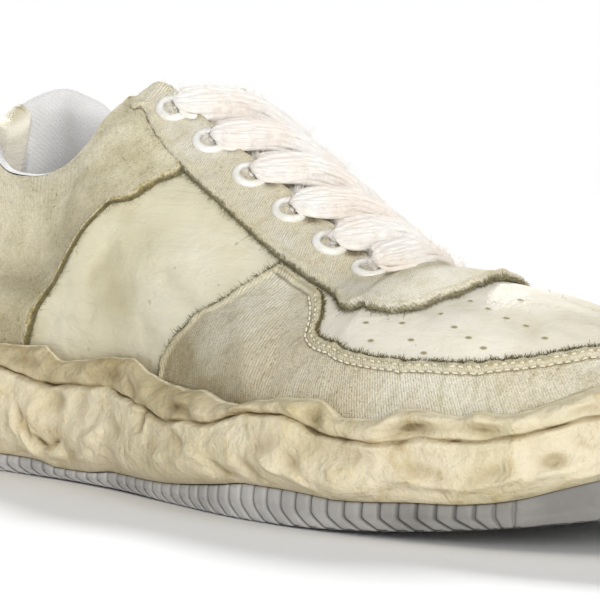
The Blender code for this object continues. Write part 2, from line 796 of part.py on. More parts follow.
def bar_mesh(name, start, end, normal, lift, arch, width, thick, trim):
    """One bar of the lace: a flat tube arched from start to end."""
    sides = 6
    shares = [trim, 0.25, 0.5, 0.75, 1.0 - trim]
    spine = []
    for t in shares:
        point = start + (end - start) * t + normal * (lift + arch * 4 * t * (1 - t))
        spine.append(point)
    verts = []
    for k, point in enumerate(spine):
        ahead = spine[min(k + 1, len(spine) - 1)] - spine[max(k - 1, 0)]
        ahead = ahead / np.linalg.norm(ahead)
        wide = np.cross(normal, ahead)
        wide = wide / np.linalg.norm(wide)
        thin = np.cross(ahead, wide)
        full = 0.72 if k in (0, len(spine) - 1) else 1.0
        for j in range(sides):
            angle = 2 * pi * (j + 0.5) / sides
            verts.append(point + wide * cos(angle) * width / 2 * full + thin * sin(angle) * thick / 2 * full)
    faces = []
    for k in range(len(spine) - 1):
        for j in range(sides):
            n = (j + 1) % sides
            faces.append((k*sides + j, k*sides + n, (k+1)*sides + n, (k+1)*sides + j))
    faces.append(tuple(range(sides)))
    faces.append(tuple(range((len(spine) - 1) * sides, len(spine) * sides)))
    mesh = bpy.data.meshes.new(name)
    mesh.from_pydata([tuple(v) for v in verts], [], faces)
    bm = bmesh.new()
    bm.from_mesh(mesh)
    bmesh.ops.recalc_face_normals(bm, faces=bm.faces)
    bm.to_mesh(mesh)
    bm.free()
    return mesh


def make_lace(mat, collection, cutters):
    """Criss-cross lace: upper bars toe-ward to the inner side, joined where they cross."""
    lift = EYELET_LIFT + GAP + LACE_THICKNESS / 2 + 0.0004
    bars = []
    for number in range(EYELET_COUNT):
        other = min(number + 1, EYELET_COUNT - 1)
        start, _, _, near = eyelet_frame(-1, number)
        end, _, _, far = eyelet_frame(1, other)
        normal = (near + far) / np.linalg.norm(near + far)
        bars.append(bar_mesh(f"bar_{number}", start, end, normal, lift, LACE_ARCH,
                             LACE_WIDTH, LACE_THICKNESS, 0.0))
    for number in range(EYELET_COUNT - 1):
        start, _, _, near = eyelet_frame(1, number)
        end, _, _, far = eyelet_frame(-1, number + 1)
        normal = (near + far) / np.linalg.norm(near + far)
        bars.append(bar_mesh(f"under_{number}", start, end, normal, lift - 0.0004, LACE_ARCH * 0.25,
                             LACE_WIDTH * 0.8, LACE_THICKNESS * 0.8, 0.13))
    mesh = bars[0]
    mesh.materials.append(mat)
    obj = bpy.data.objects.new("lace", mesh)
    collection.objects.link(obj)
    for k, bar in enumerate(bars[1:]):
        extra = bpy.data.objects.new(f"lace_bar_{k + 2}", bar)
        cutters.objects.link(extra)
        extra.hide_render = True
        extra.display_type = "WIRE"
        join = obj.modifiers.new(f"bar_{k + 2}", "BOOLEAN")
        join.object = extra
        join.operation = "UNION"
        join.solver = "EXACT"
    return obj


def main():
    for obj in list(bpy.data.objects):
        bpy.data.objects.remove(obj, do_unlink=True)
    collection = bpy.data.collections.new("worn_sneaker")
    bpy.context.scene.collection.children.link(collection)
    cutters = bpy.data.collections.new("cutters")
    bpy.context.scene.collection.children.link(cutters)
    rubber_grey = material("grey_rubber", (0.55, 0.56, 0.58), 0.6)
    rubber_cream = material("cream_rubber", (0.72, 0.66, 0.48), 0.55)
    leather = material("cream_leather", (0.80, 0.77, 0.62), 0.5)
    canvas = material("worn_canvas", (0.62, 0.58, 0.46), 0.9)
    lining = material("white_lining", (0.85, 0.85, 0.84), 0.9)
    foam = material("insole_foam", (0.75, 0.74, 0.70), 0.9)
    make_outsole(rubber_grey, collection)
    make_midsole(rubber_cream, collection)
    upper = make_wall("upper", 0.0, -UPPER_WALL, leather, collection)
    make_insole(foam, collection)
    make_tongue(canvas, collection)
    cut_overlay("mudguard", OVERLAY_WALL, table_slab(MUDGUARD, 15, 4), canvas, collection, cutters)
    cut_overlay("ankle_panel", OVERLAY_WALL, ankle_slab(), canvas, collection, cutters)
    cut_overlay("heel_tab", OVERLAY_WALL, heel_tab_slab(), leather, collection, cutters,
                seat=OVERLAY_WALL + GAP)
    eyestay = cut_overlay("eyestay", EYESTAY_WALL, table_slab(EYESTAY, 14, 2), canvas, collection, cutters)
    make_collar(lining, collection)
    cut_eyelet_holes([upper, eyestay], cutters)
    make_eyelets(material("white_enamel", (0.88, 0.88, 0.85), 0.3), collection)
    make_lace(material("cotton_lace", (0.85, 0.78, 0.72), 0.9), collection, cutters)
    to_rest = Matrix.Translation((-HEEL_REST * SOLE_LENGTH, 0.0, 0.0))
    for obj in [*collection.objects, *cutters.objects]:
        obj.matrix_world = to_rest @ obj.matrix_world


main()
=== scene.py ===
# %% [markdown]
# # A worn out low sneaker, dressed for its portrait
#
# The hard work of the form is already done: the solids of this right shoe come
# in as a fixed frame.  This lesson dresses them.  A shoe is made over a last,
# a wooden foot, so every soft piece here is grown from the same last: one
# surface that says where the wall of the shoe is, for a share of the way along
# the edge of the sole and a share of the way up the wall.

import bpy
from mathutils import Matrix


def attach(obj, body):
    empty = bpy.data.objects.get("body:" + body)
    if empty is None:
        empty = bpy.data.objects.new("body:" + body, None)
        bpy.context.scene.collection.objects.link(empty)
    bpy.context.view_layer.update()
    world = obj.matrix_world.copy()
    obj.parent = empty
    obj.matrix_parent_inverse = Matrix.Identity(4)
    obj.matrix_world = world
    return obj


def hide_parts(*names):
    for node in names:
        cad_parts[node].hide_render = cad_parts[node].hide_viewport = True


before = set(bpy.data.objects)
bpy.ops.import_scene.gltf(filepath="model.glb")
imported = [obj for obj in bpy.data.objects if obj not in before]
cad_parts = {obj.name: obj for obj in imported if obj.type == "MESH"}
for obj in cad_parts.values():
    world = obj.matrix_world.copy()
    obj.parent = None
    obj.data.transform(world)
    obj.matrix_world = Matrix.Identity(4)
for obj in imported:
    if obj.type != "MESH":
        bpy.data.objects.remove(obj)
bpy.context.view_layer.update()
print("solids in the frame:", len(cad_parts))

# %% Tools for the whole lesson
from math import cos, pi, radians, sin

import bmesh
import bpy
import numpy as np
from mathutils import Matrix, Vector, noise

dice = np.random.default_rng(11)


def bell(distance, width):
    """1 at no distance, and falling softly to 0 past the width."""
    return np.exp(-(distance / width) ** 2)


def held(values):
    """Values held between 0 and 1."""
    return np.clip(values, 0, 1)


def arrows(ways):
    """The same ways, each of length 1."""
    return ways / np.linalg.norm(ways, axis=-1, keepdims=True)


def blend(mask, low, high):
    """low where the mask is 0, high where it is 1."""
    return low * (1 - mask) + high * mask


# %% [markdown]
# ## The last
#
# A shoemaker writes a last down as a few measured stations.  Here they are,
# with the outline of the sole seen from above, the heights round its side and
# the top edge of the upper.  Each length is a share of one of the shoe's own
# sizes, so that the tables read like a size chart.

# %% The sizes of the shoe
SOLE_LENGTH = 0.300
BALL_WIDTH = 0.111
INSTEP_HEIGHT = 0.116
SOLE_HEIGHT = 0.038
UPPER_WALL = 0.0018
OVERLAY_WALL = 0.0012
EYESTAY_WALL = 0.0015
INSOLE_WALL = 0.0040
CUP_DEPTH = 0.0150
GAP = 0.0003
FEATHER_INSET = 0.0050
HEEL_TUCK = 0.0040
TOE_TUCK = 0.0030
TUCK_SHARE = 0.16
WALL_LEAN = 9.0
RIBBED_SHARE = 0.86
RIB_PITCH = 0.0050
HEEL_REST = 0.16
TURN_LENGTH = 0.36   # metres of wall in one half turn, for creases and torn edges
WALL_HEIGHT = 0.085
TO_REST = Matrix.Translation((-HEEL_REST * SOLE_LENGTH, 0.0, 0.0))

# %% Outline of the sole: along, across
OUTLINE = [
    (0.000, 0.000), (0.020, -0.200), (0.090, -0.335), (0.200, -0.367),
    (0.320, -0.352), (0.430, -0.377), (0.540, -0.450), (0.650, -0.520),
    (0.750, -0.517), (0.840, -0.440), (0.915, -0.315), (0.975, -0.140),
    (1.000, 0.050), (0.980, 0.215), (0.925, 0.350), (0.850, 0.440),
    (0.760, 0.482), (0.660, 0.468), (0.550, 0.392), (0.430, 0.318),
    (0.320, 0.308), (0.200, 0.335), (0.090, 0.317), (0.020, 0.195),
]
TOE_POINT = 12

# %% Heights round the side of the sole: share, lift, tread, groove, rim
SOLE_SIDE = [
    (0.00, 0.070, 0.140, 0.860, 1.080),
    (0.08, 0.000, 0.105, 0.870, 1.070),
    (0.16, 0.000, 0.085, 0.850, 1.050),
    (0.24, 0.000, 0.080, 0.800, 0.990),
    (0.30, 0.000, 0.105, 0.790, 0.960),
    (0.38, 0.010, 0.150, 0.740, 0.950),
    (0.46, 0.010, 0.190, 0.640, 0.850),
    (0.54, 0.000, 0.215, 0.700, 0.880),
    (0.62, 0.000, 0.225, 0.720, 0.890),
    (0.70, 0.015, 0.190, 0.680, 0.870),
    (0.78, 0.065, 0.170, 0.710, 0.895),
    (0.86, 0.150, 0.190, 0.790, 0.965),
    (0.93, 0.250, 0.240, 0.930, 1.110),
    (1.00, 0.370, 0.260, 1.060, 1.240),
]

# %% Top edge of the upper: share, along, across, height, turn of the wall
TOP_EDGE = [
    (0.000, 0.073, 0.000, 0.870, 12),
    (0.020, 0.075, 0.038, 0.878, 12),
    (0.060, 0.085, 0.105, 0.940, 14),
    (0.110, 0.112, 0.182, 0.978, 16),
    (0.160, 0.150, 0.240, 0.942, 18),
    (0.210, 0.190, 0.285, 0.848, 18),
    (0.255, 0.228, 0.308, 0.765, 18),
    (0.295, 0.265, 0.312, 0.747, 20),
    (0.325, 0.300, 0.303, 0.758, 24),
    (0.348, 0.325, 0.284, 0.795, 30),
    (0.365, 0.340, 0.256, 0.850, 36),
    (0.380, 0.349, 0.230, 0.905, 42),
    (0.398, 0.363, 0.185, 0.957, 50),
    (0.420, 0.383, 0.113, 1.000, 58),
    (0.470, 0.437, 0.105, 0.915, 62),
    (0.535, 0.517, 0.095, 0.795, 66),
    (0.600, 0.600, 0.082, 0.672, 70),
    (0.650, 0.665, 0.065, 0.584, 75),
    (0.675, 0.692, 0.038, 0.573, 82),
    (0.690, 0.703, 0.000, 0.580, 90),
    (0.760, 0.748, 0.004, 0.578, 90),
    (0.840, 0.800, 0.012, 0.566, 90),
    (0.920, 0.843, 0.020, 0.546, 90),
    (1.000, 0.880, 0.026, 0.520, 90),
]
TOP_CORNERS = (13, 19)
THROAT_CORNER = 0.420
THROAT_END = 0.690


# %% A smooth value from a column of a table
def column(table, share, place, corners=(), level_ends=False):
    share = np.asarray(share, float)
    x = np.array([row[0] for row in table], float)
    y = np.array([row[place] for row in table], float)
    cuts = [0, *corners, len(x) - 1]
    value = np.zeros(share.shape)
    for first, last in zip(cuts[:-1], cuts[1:]):
        xs, ys = x[first:last + 1], y[first:last + 1]
        slopes = np.diff(ys) / np.diff(xs)
        m = np.gradient(ys, xs) if len(xs) > 2 else np.full(2, slopes[0])
        if len(xs) > 2:
            m[1:-1][slopes[:-1] * slopes[1:] <= 0] = 0.0
        if level_ends:
            m[0] = m[-1] = 0.0
        s = np.clip(share, xs[0], xs[-1])
        k = np.clip(np.searchsorted(xs, s, side="right") - 1, 0, len(xs) - 2)
        h = xs[k + 1] - xs[k]
        t = (s - xs[k]) / h
        part = ((2*t**3 - 3*t**2 + 1) * ys[k] + (t**3 - 2*t**2 + t) * h * m[k]
                + (3*t**2 - 2*t**3) * ys[k + 1] + (t**3 - t**2) * h * m[k + 1])
        low = -np.inf if first == 0 else x[first]
        high = np.inf if last == len(x) - 1 else x[last]
        inside = (share > low) & (share <= high)
        value[inside] = part[inside]
    return value


# %% The outline as a smooth closed curve
def closed_curve(points, steps):
    p = np.array(points, float)
    n = len(p)
    spans = []
    t = np.linspace(0.0, 1.0, steps, endpoint=False)[:, None]
    for i in range(n):
        a, b, c, d = p[i - 1], p[i], p[(i + 1) % n], p[(i + 2) % n]
        k1 = np.linalg.norm(b - a) ** 0.5
        k2 = np.linalg.norm(c - b) ** 0.5
        k3 = np.linalg.norm(d - c) ** 0.5
        m1 = ((b - a) / k1 - (c - a) / (k1 + k2) + (c - b) / k2) * k2
        m2 = ((c - b) / k2 - (d - b) / (k2 + k3) + (d - c) / k3) * k2
        spans.append((2*t**3 - 3*t**2 + 1) * b + (t**3 - 2*t**2 + t) * m1
                     + (3*t**2 - 2*t**3) * c + (t**3 - t**2) * m2)
    return np.concatenate(spans)


PER_ROW = 24
loop = closed_curve([(a * SOLE_LENGTH, c * BALL_WIDTH) for a, c in OUTLINE], PER_ROW)
outer_edge = loop[:TOE_POINT * PER_ROW + 1]
inner_edge = np.concatenate([loop[TOE_POINT * PER_ROW:], loop[:1]])[::-1]
EDGES = {}
for side, edge in ((-1, outer_edge), (1, inner_edge)):
    steps = np.linalg.norm(np.diff(edge, axis=0), axis=1)
    arc = np.concatenate([[0.0], np.cumsum(steps)])
    EDGES[side] = (edge, arc / arc[-1], arc[-1])
print("edge of the sole, outer and inner (mm):", [round(EDGES[s][2] * 1000, 1) for s in (-1, 1)])

# %% [markdown]
# ## Walking round the shoe
#
# One number, here called *turn*, walks once round the shoe: 0 at the rear of
# the heel, 0 to 1 along the outer side to the toe, 1 to 2 back along the inner
# side.  A grid of the wall is worked out once, and every panel, seam and
# thread then asks it for a place.  Asking a finished grid is much faster than
# doing the sums again for each of a few hundred thousand points.


# %% Plan of the edge for any turn
def halves(turn):
    turn = np.mod(np.asarray(turn, float), 2.0)
    side = np.where(turn <= 1.0, -1, 1)
    share = np.where(turn <= 1.0, turn, 2.0 - turn)
    return side, share


def edge_plan(turn, outward=0.0):
    """Plan point on the sole's edge for a turn, moved outward, and the way out."""
    step = 0.002

    def at(q):
        side, share = halves(q)
        xy = np.zeros(share.shape + (2,))
        for s in (-1, 1):
            edge, arc, _ = EDGES[s]
            pick = side == s
            xy[pick, 0] = np.interp(share[pick], arc, edge[:, 0])
            xy[pick, 1] = np.interp(share[pick], arc, edge[:, 1])
        return xy

    turn = np.asarray(turn, float)
    way = arrows(at(turn + step) - at(turn - step))
    out = np.stack([way[..., 1], -way[..., 0]], -1)
    out = np.where((out * (at(turn) - (0.15, 0.0))).sum(-1, keepdims=True) < 0, -out, out)
    return at(turn) + out * np.asarray(outward)[..., None], out


def sole_height(turn, place):
    _, share = halves(turn)
    return column(SOLE_SIDE, share, place, level_ends=True) * SOLE_HEIGHT


# %% The wall of the upper as one grid
WALL_TURNS, WALL_UPS = 1200, 160
wall_turn = np.arange(WALL_TURNS) * 2.0 / WALL_TURNS
wall_up = np.linspace(0.0, 1.0, WALL_UPS + 1)


def last_points(turn, up):
    """Points of the outer face of the upper, one row of ups for each turn."""
    side, share = halves(turn)
    tuck = (FEATHER_INSET + HEEL_TUCK * np.maximum(0.0, 1.0 - (share / TUCK_SHARE) ** 2)
            + TOE_TUCK * np.maximum(0.0, 1.0 - ((1.0 - share) / TUCK_SHARE) ** 2))
    foot_xy, out = edge_plan(turn, -tuck)
    foot = np.column_stack([foot_xy, sole_height(turn, 4) - CUP_DEPTH + GAP])
    cells = [column(TOP_EDGE, share, c, TOP_CORNERS) for c in (1, 2, 3, 4)]
    across = np.where(share >= THROAT_END, cells[1], side * cells[1]) * BALL_WIDTH
    top = np.column_stack([cells[0] * SOLE_LENGTH, across, cells[2] * INSTEP_HEIGHT])
    out3 = np.column_stack([out, np.zeros(len(out))])
    chord = np.linalg.norm(top - foot, axis=1, keepdims=True)
    level = arrows((top - foot) * (1.0, 1.0, 0.0) - 0.5 * BALL_WIDTH * out3)
    lean, bend = radians(WALL_LEAN), np.radians(cells[3])[:, None]
    upright = np.array([[0.0, 0.0, 1.0]])
    rise = out3 * sin(lean) + upright * cos(lean)
    come = level * np.sin(bend) + upright * np.cos(bend)
    reach = 0.40 + 0.10 * np.maximum(0.0, (share[:, None] - 0.60) / 0.40)
    p1 = foot + rise * chord * 0.36
    p2 = top - come * chord * reach
    t = np.asarray(up)[None, :, None]
    f, a, b, c = foot[:, None], p1[:, None], p2[:, None], top[:, None]
    return (1-t)**3 * f + 3*(1-t)**2*t * a + 3*(1-t)*t*t * b + t**3 * c


wall = last_points(wall_turn, wall_up)
along_way = np.roll(wall, -1, axis=0) - np.roll(wall, 1, axis=0)
up_way = np.gradient(wall, axis=1)
wall_out = np.cross(along_way, up_way)
size = np.linalg.norm(wall_out, axis=2, keepdims=True)
wall_out = np.where(size > 1e-12, wall_out / np.maximum(size, 1e-12), (0.0, 0.0, 1.0))
middle = wall.mean(axis=(0, 1))
flip = np.sign((wall_out[:, 40] * (wall[:, 40] - middle)).sum(-1))
wall_out *= flip[:, None, None]
_, wall_share = halves(wall_turn)
ridge = (wall_share > THROAT_END)[:, None] & (wall_up > 0.93)[None, :]
level_off = np.where(ridge, 1.0 - np.minimum((wall_up[None, :] - 0.93) / 0.07, 1.0), 1.0)
wall_out[..., 1] *= level_off
wall_out = arrows(wall_out)
WALL_LENGTH = float(np.linalg.norm(np.diff(wall[:, 30], axis=0), axis=1).sum())
print("the wall once round at ankle level (mm):", round(WALL_LENGTH * 1000, 1))


# %% Ask the wall for a place
def ask(grid, turn, up):
    """Value of a wall grid between its knots."""
    x = np.mod(np.asarray(turn, float), 2.0) / 2.0 * WALL_TURNS
    y = held(np.asarray(up, float)) * WALL_UPS
    i = np.floor(x).astype(int)
    j = np.minimum(np.floor(y).astype(int), WALL_UPS - 1)
    s, t = (x - i)[..., None], (y - j)[..., None]
    i, i2 = i % WALL_TURNS, (i + 1) % WALL_TURNS
    return blend(t, blend(s, grid[i, j], grid[i2, j]), blend(s, grid[i, j + 1], grid[i2, j + 1]))


# %% [markdown]
# ## The creases
#
# Old soft leather keeps the shape of the foot that bent it.  The folds here
# are not left to chance: each is one line from a place on the wall to another,
# with the width and the depth of its trough, or of its ridge where the depth
# is positive.  The upper, its panels and its seams all ride on the same folds,
# so a crease runs on from one piece to the next as it does on the real shoe.

# %% Creases: turn and up of both ends, width and depth in mm
CREASES = [
    # quarter, outer side
    (0.400, 0.40, 0.470, 0.52, 5.0, -0.9),
    (0.395, 0.30, 0.450, 0.38, 6.0, -0.7),
    (0.430, 0.62, 0.500, 0.70, 5.0, 0.7),
    (0.470, 0.28, 0.530, 0.22, 6.0, -0.8),
    (0.440, 0.48, 0.520, 0.56, 4.0, 0.6),
    (0.360, 0.30, 0.400, 0.24, 6.0, 0.7),
    (0.500, 0.46, 0.540, 0.40, 5.0, -0.8),
    # flex folds across the forefoot, outer side
    (0.620, 0.62, 0.640, 0.30, 7.0, -0.9),
    (0.655, 0.36, 0.700, 0.28, 7.0, -0.9),
    (0.590, 0.46, 0.615, 0.24, 6.0, 0.7),
    (0.700, 0.80, 0.760, 0.62, 6.0, -0.7),
    (0.730, 0.34, 0.800, 0.34, 6.0, 0.6),
    # ankle and heel, outer side
    (0.150, 0.75, 0.260, 0.50, 9.0, -1.0),
    (0.180, 0.52, 0.320, 0.42, 8.0, 0.8),
    (0.200, 0.34, 0.300, 0.30, 8.0, -0.9),
    (0.350, 0.88, 0.400, 0.70, 6.0, -0.8),
    (0.300, 0.70, 0.360, 0.60, 7.0, 0.8),
    (0.060, 0.45, 0.140, 0.36, 9.0, -0.8),
    # toe box
    (0.780, 0.72, 0.860, 0.60, 8.0, -0.7),
    (0.860, 0.85, 0.930, 0.76, 9.0, 0.5),
    (0.900, 0.40, 0.980, 0.40, 6.0, -0.6),
    # inner side
    (1.380, 0.62, 1.300, 0.30, 7.0, -1.0),
    (1.340, 0.70, 1.290, 0.55, 6.0, 0.8),
    (1.420, 0.30, 1.480, 0.26, 7.0, -0.8),
    (1.500, 0.60, 1.580, 0.46, 7.0, -0.8),
    (1.560, 0.30, 1.640, 0.40, 7.0, 0.7),
    (1.720, 0.62, 1.850, 0.44, 9.0, -0.9),
    (1.660, 0.82, 1.700, 0.60, 7.0, 0.8),
    (1.900, 0.40, 1.960, 0.50, 9.0, -0.7),
    (1.160, 0.66, 1.240, 0.56, 8.0, -0.7),
]


def folds(turn, up):
    """How far the creases push the wall out, in metres."""
    turn, up = np.asarray(turn, float), np.asarray(up, float)
    total = np.zeros(np.broadcast(turn, up).shape)
    for t0, u0, t1, u1, width, depth in CREASES:
        a = np.array([t0 * TURN_LENGTH, u0 * WALL_HEIGHT])
        b = np.array([t1 * TURN_LENGTH, u1 * WALL_HEIGHT])
        way = b - a
        px, py = turn * TURN_LENGTH - a[0], up * WALL_HEIGHT - a[1]
        s = held((px * way[0] + py * way[1]) / (way @ way))
        gone = (px - s * way[0]) ** 2 + (py - s * way[1]) ** 2
        total += depth * 0.001 * np.exp(-gone / (width * 0.001 * 0.62) ** 2)
    slow = (np.sin(turn * 31.0 + up * 5.0) * np.sin(turn * 13.0 - up * 7.0)
            + 0.6 * np.sin(turn * 57.0 + up * 11.0 + 1.0) * np.sin(up * 13.0 + turn * 9.0))
    calm = np.minimum(1.0, (1.0 - up) * 6.0) * np.minimum(1.0, up * 8.0)
    return total * calm + 0.00028 * slow * calm


fold_grid = folds(wall_turn[:, None], wall_up[None, :])


def skin(turn, up, lift=0.0):
    """Point of the creased wall, lifted along its own way out."""
    turn, up = np.broadcast_arrays(np.asarray(turn, float), np.asarray(up, float))
    away = ask(fold_grid[..., None], turn, up)[..., 0] + lift
    return ask(wall, turn, up) + ask(wall_out, turn, up) * away[..., None]


print("deepest trough and highest fold (mm):", np.round([fold_grid.min() * 1000, fold_grid.max() * 1000], 2))

# %% [markdown]
# ## From points to cloth
#
# Every soft piece is a sheet: a grid of points with rows and columns.  One
# function makes the mesh, gives it a cloth map in real metres, so that a weave
# keeps its size, and stores marks on its points, such as how far each one is
# from a cut edge.  The finishes read those marks to colour the raw edges.

# %% Sheets and closed rings
def lengths(points, axis):
    """Metres walked along one axis of a grid of points."""
    steps = np.linalg.norm(np.diff(points, axis=axis), axis=2)
    pad = [(0, 0), (0, 0)]
    pad[axis] = (1, 0)
    return np.pad(np.cumsum(steps, axis=axis), pad)


def make_mesh(name, verts, faces, uvs=None, marks=None, weld=0.0):
    mesh = bpy.data.meshes.new(name)
    mesh.from_pydata(verts.tolist(), [], faces.tolist())
    if uvs is not None:
        layer = mesh.uv_layers.new(name="cloth")
        layer.data.foreach_set("uv", uvs.astype(np.float32).ravel())
    for mark, values in (marks or {}).items():
        attribute = mesh.attributes.new(mark, "FLOAT", "POINT")
        attribute.data.foreach_set("value", np.asarray(values, np.float32).ravel())
    obj = bpy.data.objects.new(name, mesh)
    bpy.context.scene.collection.objects.link(obj)
    if weld:
        bm = bmesh.new()
        bm.from_mesh(mesh)
        bmesh.ops.remove_doubles(bm, verts=bm.verts, dist=weld)
        bm.to_mesh(mesh)
        bm.free()
    mesh.shade_smooth()
    return obj


def grid_faces(columns, rows, closed):
    """Faces of a grid [columns, rows], and the column and row of each corner."""
    c, r = np.meshgrid(np.arange(columns if closed else columns - 1), np.arange(rows - 1), indexing="ij")
    c, r = c.ravel(), r.ravel()
    c2 = (c + 1) % columns
    faces = np.stack([c * rows + r, c2 * rows + r, c2 * rows + r + 1, c * rows + r + 1], 1)
    return faces, [(c, r), (c + 1, r), (c + 1, r + 1), (c, r + 1)]


def sheet(name, points, closed=False, marks=None, turned=False, weld=0.0):
    """Mesh of a grid of points [columns, rows]."""
    faces, corners = grid_faces(*points.shape[:2], closed)
    ring = np.concatenate([points, points[:1]]) if closed else points
    u = lengths(ring, 0).mean(axis=1)
    v = lengths(ring, 1)
    uvs = np.stack([np.stack([u[a], v[a, b]], 1) for a, b in corners], 1)
    if turned:
        faces, uvs = faces[:, ::-1], uvs[:, ::-1]
    flat = {mark: values.ravel() for mark, values in (marks or {}).items()}
    return make_mesh(name, points.reshape(-1, 3), faces, uvs, flat, weld)


def dress(piece, finish, slot, *nodes):
    """Give a piece its finish, its body and the solids that it stands for.

    The last is measured from the rear of the sole, and the frame from the
    middle of the heel's rest, so each piece is moved there first.
    """
    piece.data.transform(TO_REST)
    piece.data.materials.append(finish)
    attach(piece, "root")
    if nodes:
        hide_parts(*nodes)
    print(f"{piece.name}: {sum(len(p.vertices) - 2 for p in piece.data.polygons)} triangles")
    return piece


# %% Slow, soft noise at points in the shoe's own space
def grain(points, size, seed=0.0):
    """One soft random number for each point; size is the width of a lump, in metres."""
    flat = points.reshape(-1, 3) / size
    shift = Vector((seed, seed * 1.7, -seed))
    values = [noise.noise(Vector(p) + shift) for p in flat.tolist()]
    return np.array(values).reshape(points.shape[:-1])


# %% [markdown]
# ## Shader sums in plain Python
#
# A finish is a sum: a little dirt here, less gloss there.  The class below lets
# the sum be written as one.  It holds a socket, and `+`, `-`, `*` and `**` each
# add the Math node that does it, the first three also with a plain number on
# the left.

# %% A socket that takes part in sums
class Wire:
    """A socket of a finish's tree that adds, multiplies and waves like a number."""

    def __init__(self, finish, socket):
        self.finish, self.socket = finish, socket

    def math(self, operation, *values):
        return self.finish.node("Math", {"operation": operation}, dict(enumerate(values)))

    def __add__(self, other):
        return self.math("ADD", self, other)

    def __sub__(self, other):
        return self.math("SUBTRACT", self, other)

    def __rsub__(self, other):
        return self.math("SUBTRACT", other, self)

    def __mul__(self, other):
        return self.math("MULTIPLY", self, other)

    def __pow__(self, other):
        return self.math("POWER", self, other)

    __radd__, __rmul__ = __add__, __mul__

    def sine(self):
        return self.math("SINE", self)

    def between(self, low, high):
        """0 below low and 1 above high, with a soft step."""
        return self.finish.node("MapRange", {"interpolation_type": "SMOOTHSTEP"},
                                {"Value": self, "From Min": low, "From Max": high})


# %% A finish: one material and the ways to build on it
def dye(code):
    """Linear colour of a hex code."""
    parts = [int(code[i:i + 2], 16) / 255 for i in (0, 2, 4)]
    return tuple(p / 12.92 if p <= 0.04045 else ((p + 0.055) / 1.055) ** 2.4 for p in parts) + (1.0,)


class Finish:
    """One material while it is being built; keyword arguments set its plain sockets."""

    def __init__(self, name, **constants):
        self.material = bpy.data.materials.new(name)
        self.material.use_nodes = True
        self.tree = self.material.node_tree
        self.shader = self.tree.nodes["Principled BSDF"]
        for socket, value in constants.items():
            self.shader.inputs[socket.replace("_", " ")].default_value = value
        self.place = self.node("TexCoord", out="Object")
        cloth = self.node("TexCoord", out="UV")
        self.across, self.upward = self.axis("X", cloth), self.axis("Y", cloth)

    def node(self, kind, settings=None, sockets=None, out=0):
        node = self.tree.nodes.new("ShaderNode" + kind)
        for key, value in (settings or {}).items():
            setattr(node, key, value)
        for key, value in (sockets or {}).items():
            self.feed(node.inputs[key], value)
        return Wire(self, node.outputs[out])

    def feed(self, socket, value):
        if isinstance(value, Wire):
            self.tree.links.new(value.socket, socket)
        else:
            socket.default_value = value

    def noise(self, size, detail=3.0, rough=0.55, where=None, lacing=0.0):
        return self.node("TexNoise", {}, {"Vector": where or self.place, "Scale": 1.0 / size,
                                          "Detail": detail, "Roughness": rough, "Distortion": lacing})

    def stretched(self, x, y, z):
        """The place with each axis scaled."""
        return self.node("VectorMath", {"operation": "MULTIPLY"}, {0: self.place, 1: (x, y, z)})

    def axis(self, name, vector=None):
        """One part of the place, or of another vector."""
        return self.node("SeparateXYZ", {}, {"Vector": vector or self.place}, out=name)

    def waves(self, along, pitch):
        """A sine from -1 to 1 with its crests one pitch apart."""
        return (along * (2 * pi / pitch)).sine()

    def cloth(self, x, y):
        return self.node("CombineXYZ", {}, {"X": self.across * x, "Y": self.upward * y})

    def mark(self, name):
        return self.node("Attribute", {"attribute_name": name}, out="Fac")

    def mix(self, mask, low, high):
        return self.node("Mix", {"data_type": "RGBA"}, {0: mask, 6: low, 7: high}, out=2)

    def tint(self, mask, base, over):
        """Multiply base by a colour where the mask is 1."""
        return self.node("Mix", {"data_type": "RGBA", "blend_type": "MULTIPLY"},
                         {0: mask, 6: base, 7: over}, out=2)

    def paint(self, colour, roughness, height, depth):
        """The finished material; depth is how far its bumps stand up, in metres."""
        bump = self.node("Bump", {}, {"Height": height, "Distance": depth, "Strength": 1.0}, out="Normal")
        for name, value in (("Base Color", colour), ("Roughness", roughness), ("Normal", bump)):
            self.feed(self.shader.inputs[name], value)
        return self.material


# %% [markdown]
# ## Leather
#
# The quarter and the toe box are aged cream leather.  Close up it has a fine
# pebble grain, wider soft blotches where oil and dust have gone in, and a
# greyer film low down near the rubber.  The mark *low* says where the rubber
# is near, so the dirt gathers there, as it does in use.  The mark *shade* is
# painted shade: darker in the troughs of the creases, on a patch of the
# quarter and towards the front of the toe; on the heel tab it draws a dark
# line along the seam and the edges.  A third mark makes the toe box paler,
# painted light on its top, and the heel tab folded into the collar paler,
# painted light against its shade.

# %% Cream leather
f = Finish("cream_leather_worn", Specular_IOR_Level=0.35, Sheen_Weight=0.12)
blotch = f.noise(0.022, 4.0, 0.6)
cloudy = f.noise(0.060, 3.0, 0.5, lacing=0.6)
pebble = f.noise(0.0011, 2.0, 0.5)
fine_lines = f.noise(0.010, 5.0, 0.7, f.stretched(0.6, 1.0, 1.8), 1.4)
specks = f.noise(0.0026, 1.0, 0.3).between(0.755, 0.790)
cream = f.mix(cloudy.between(0.35, 0.65), dye("e0d9bc"), dye("e9e3cc"))
# Paler where the light is painted in: the top of the toe box and the heel tab folded into the collar.
cream = f.mix(f.mark("toe") * 0.95, cream, dye("f6f0e0"))
cream = f.tint(blotch.between(0.50, 0.70) * 0.30, cream, dye("e9e0c2"))
cream = f.tint(f.mark("low") * (0.35 + 0.65 * blotch), cream, dye("c9bd97"))
# Darker where the shade mark is: painted shade in crease troughs, on a patch of the quarter and at the front of
# the toe, and a dark seam line on the heel tab.
cream = f.tint(f.mark("shade") * 0.8, cream, dye("c4bda2"))
cream = f.mix(specks * 0.45, cream, dye("a29a7c"))
gloss = 0.50 + 0.18 * blotch - 0.06 * f.mark("toe")
surface = pebble * 0.10 + fine_lines * 0.55 + f.noise(0.0045, 2.0, 0.5) * 0.35
LEATHER = f.paint(cream, gloss, surface, 0.0011)

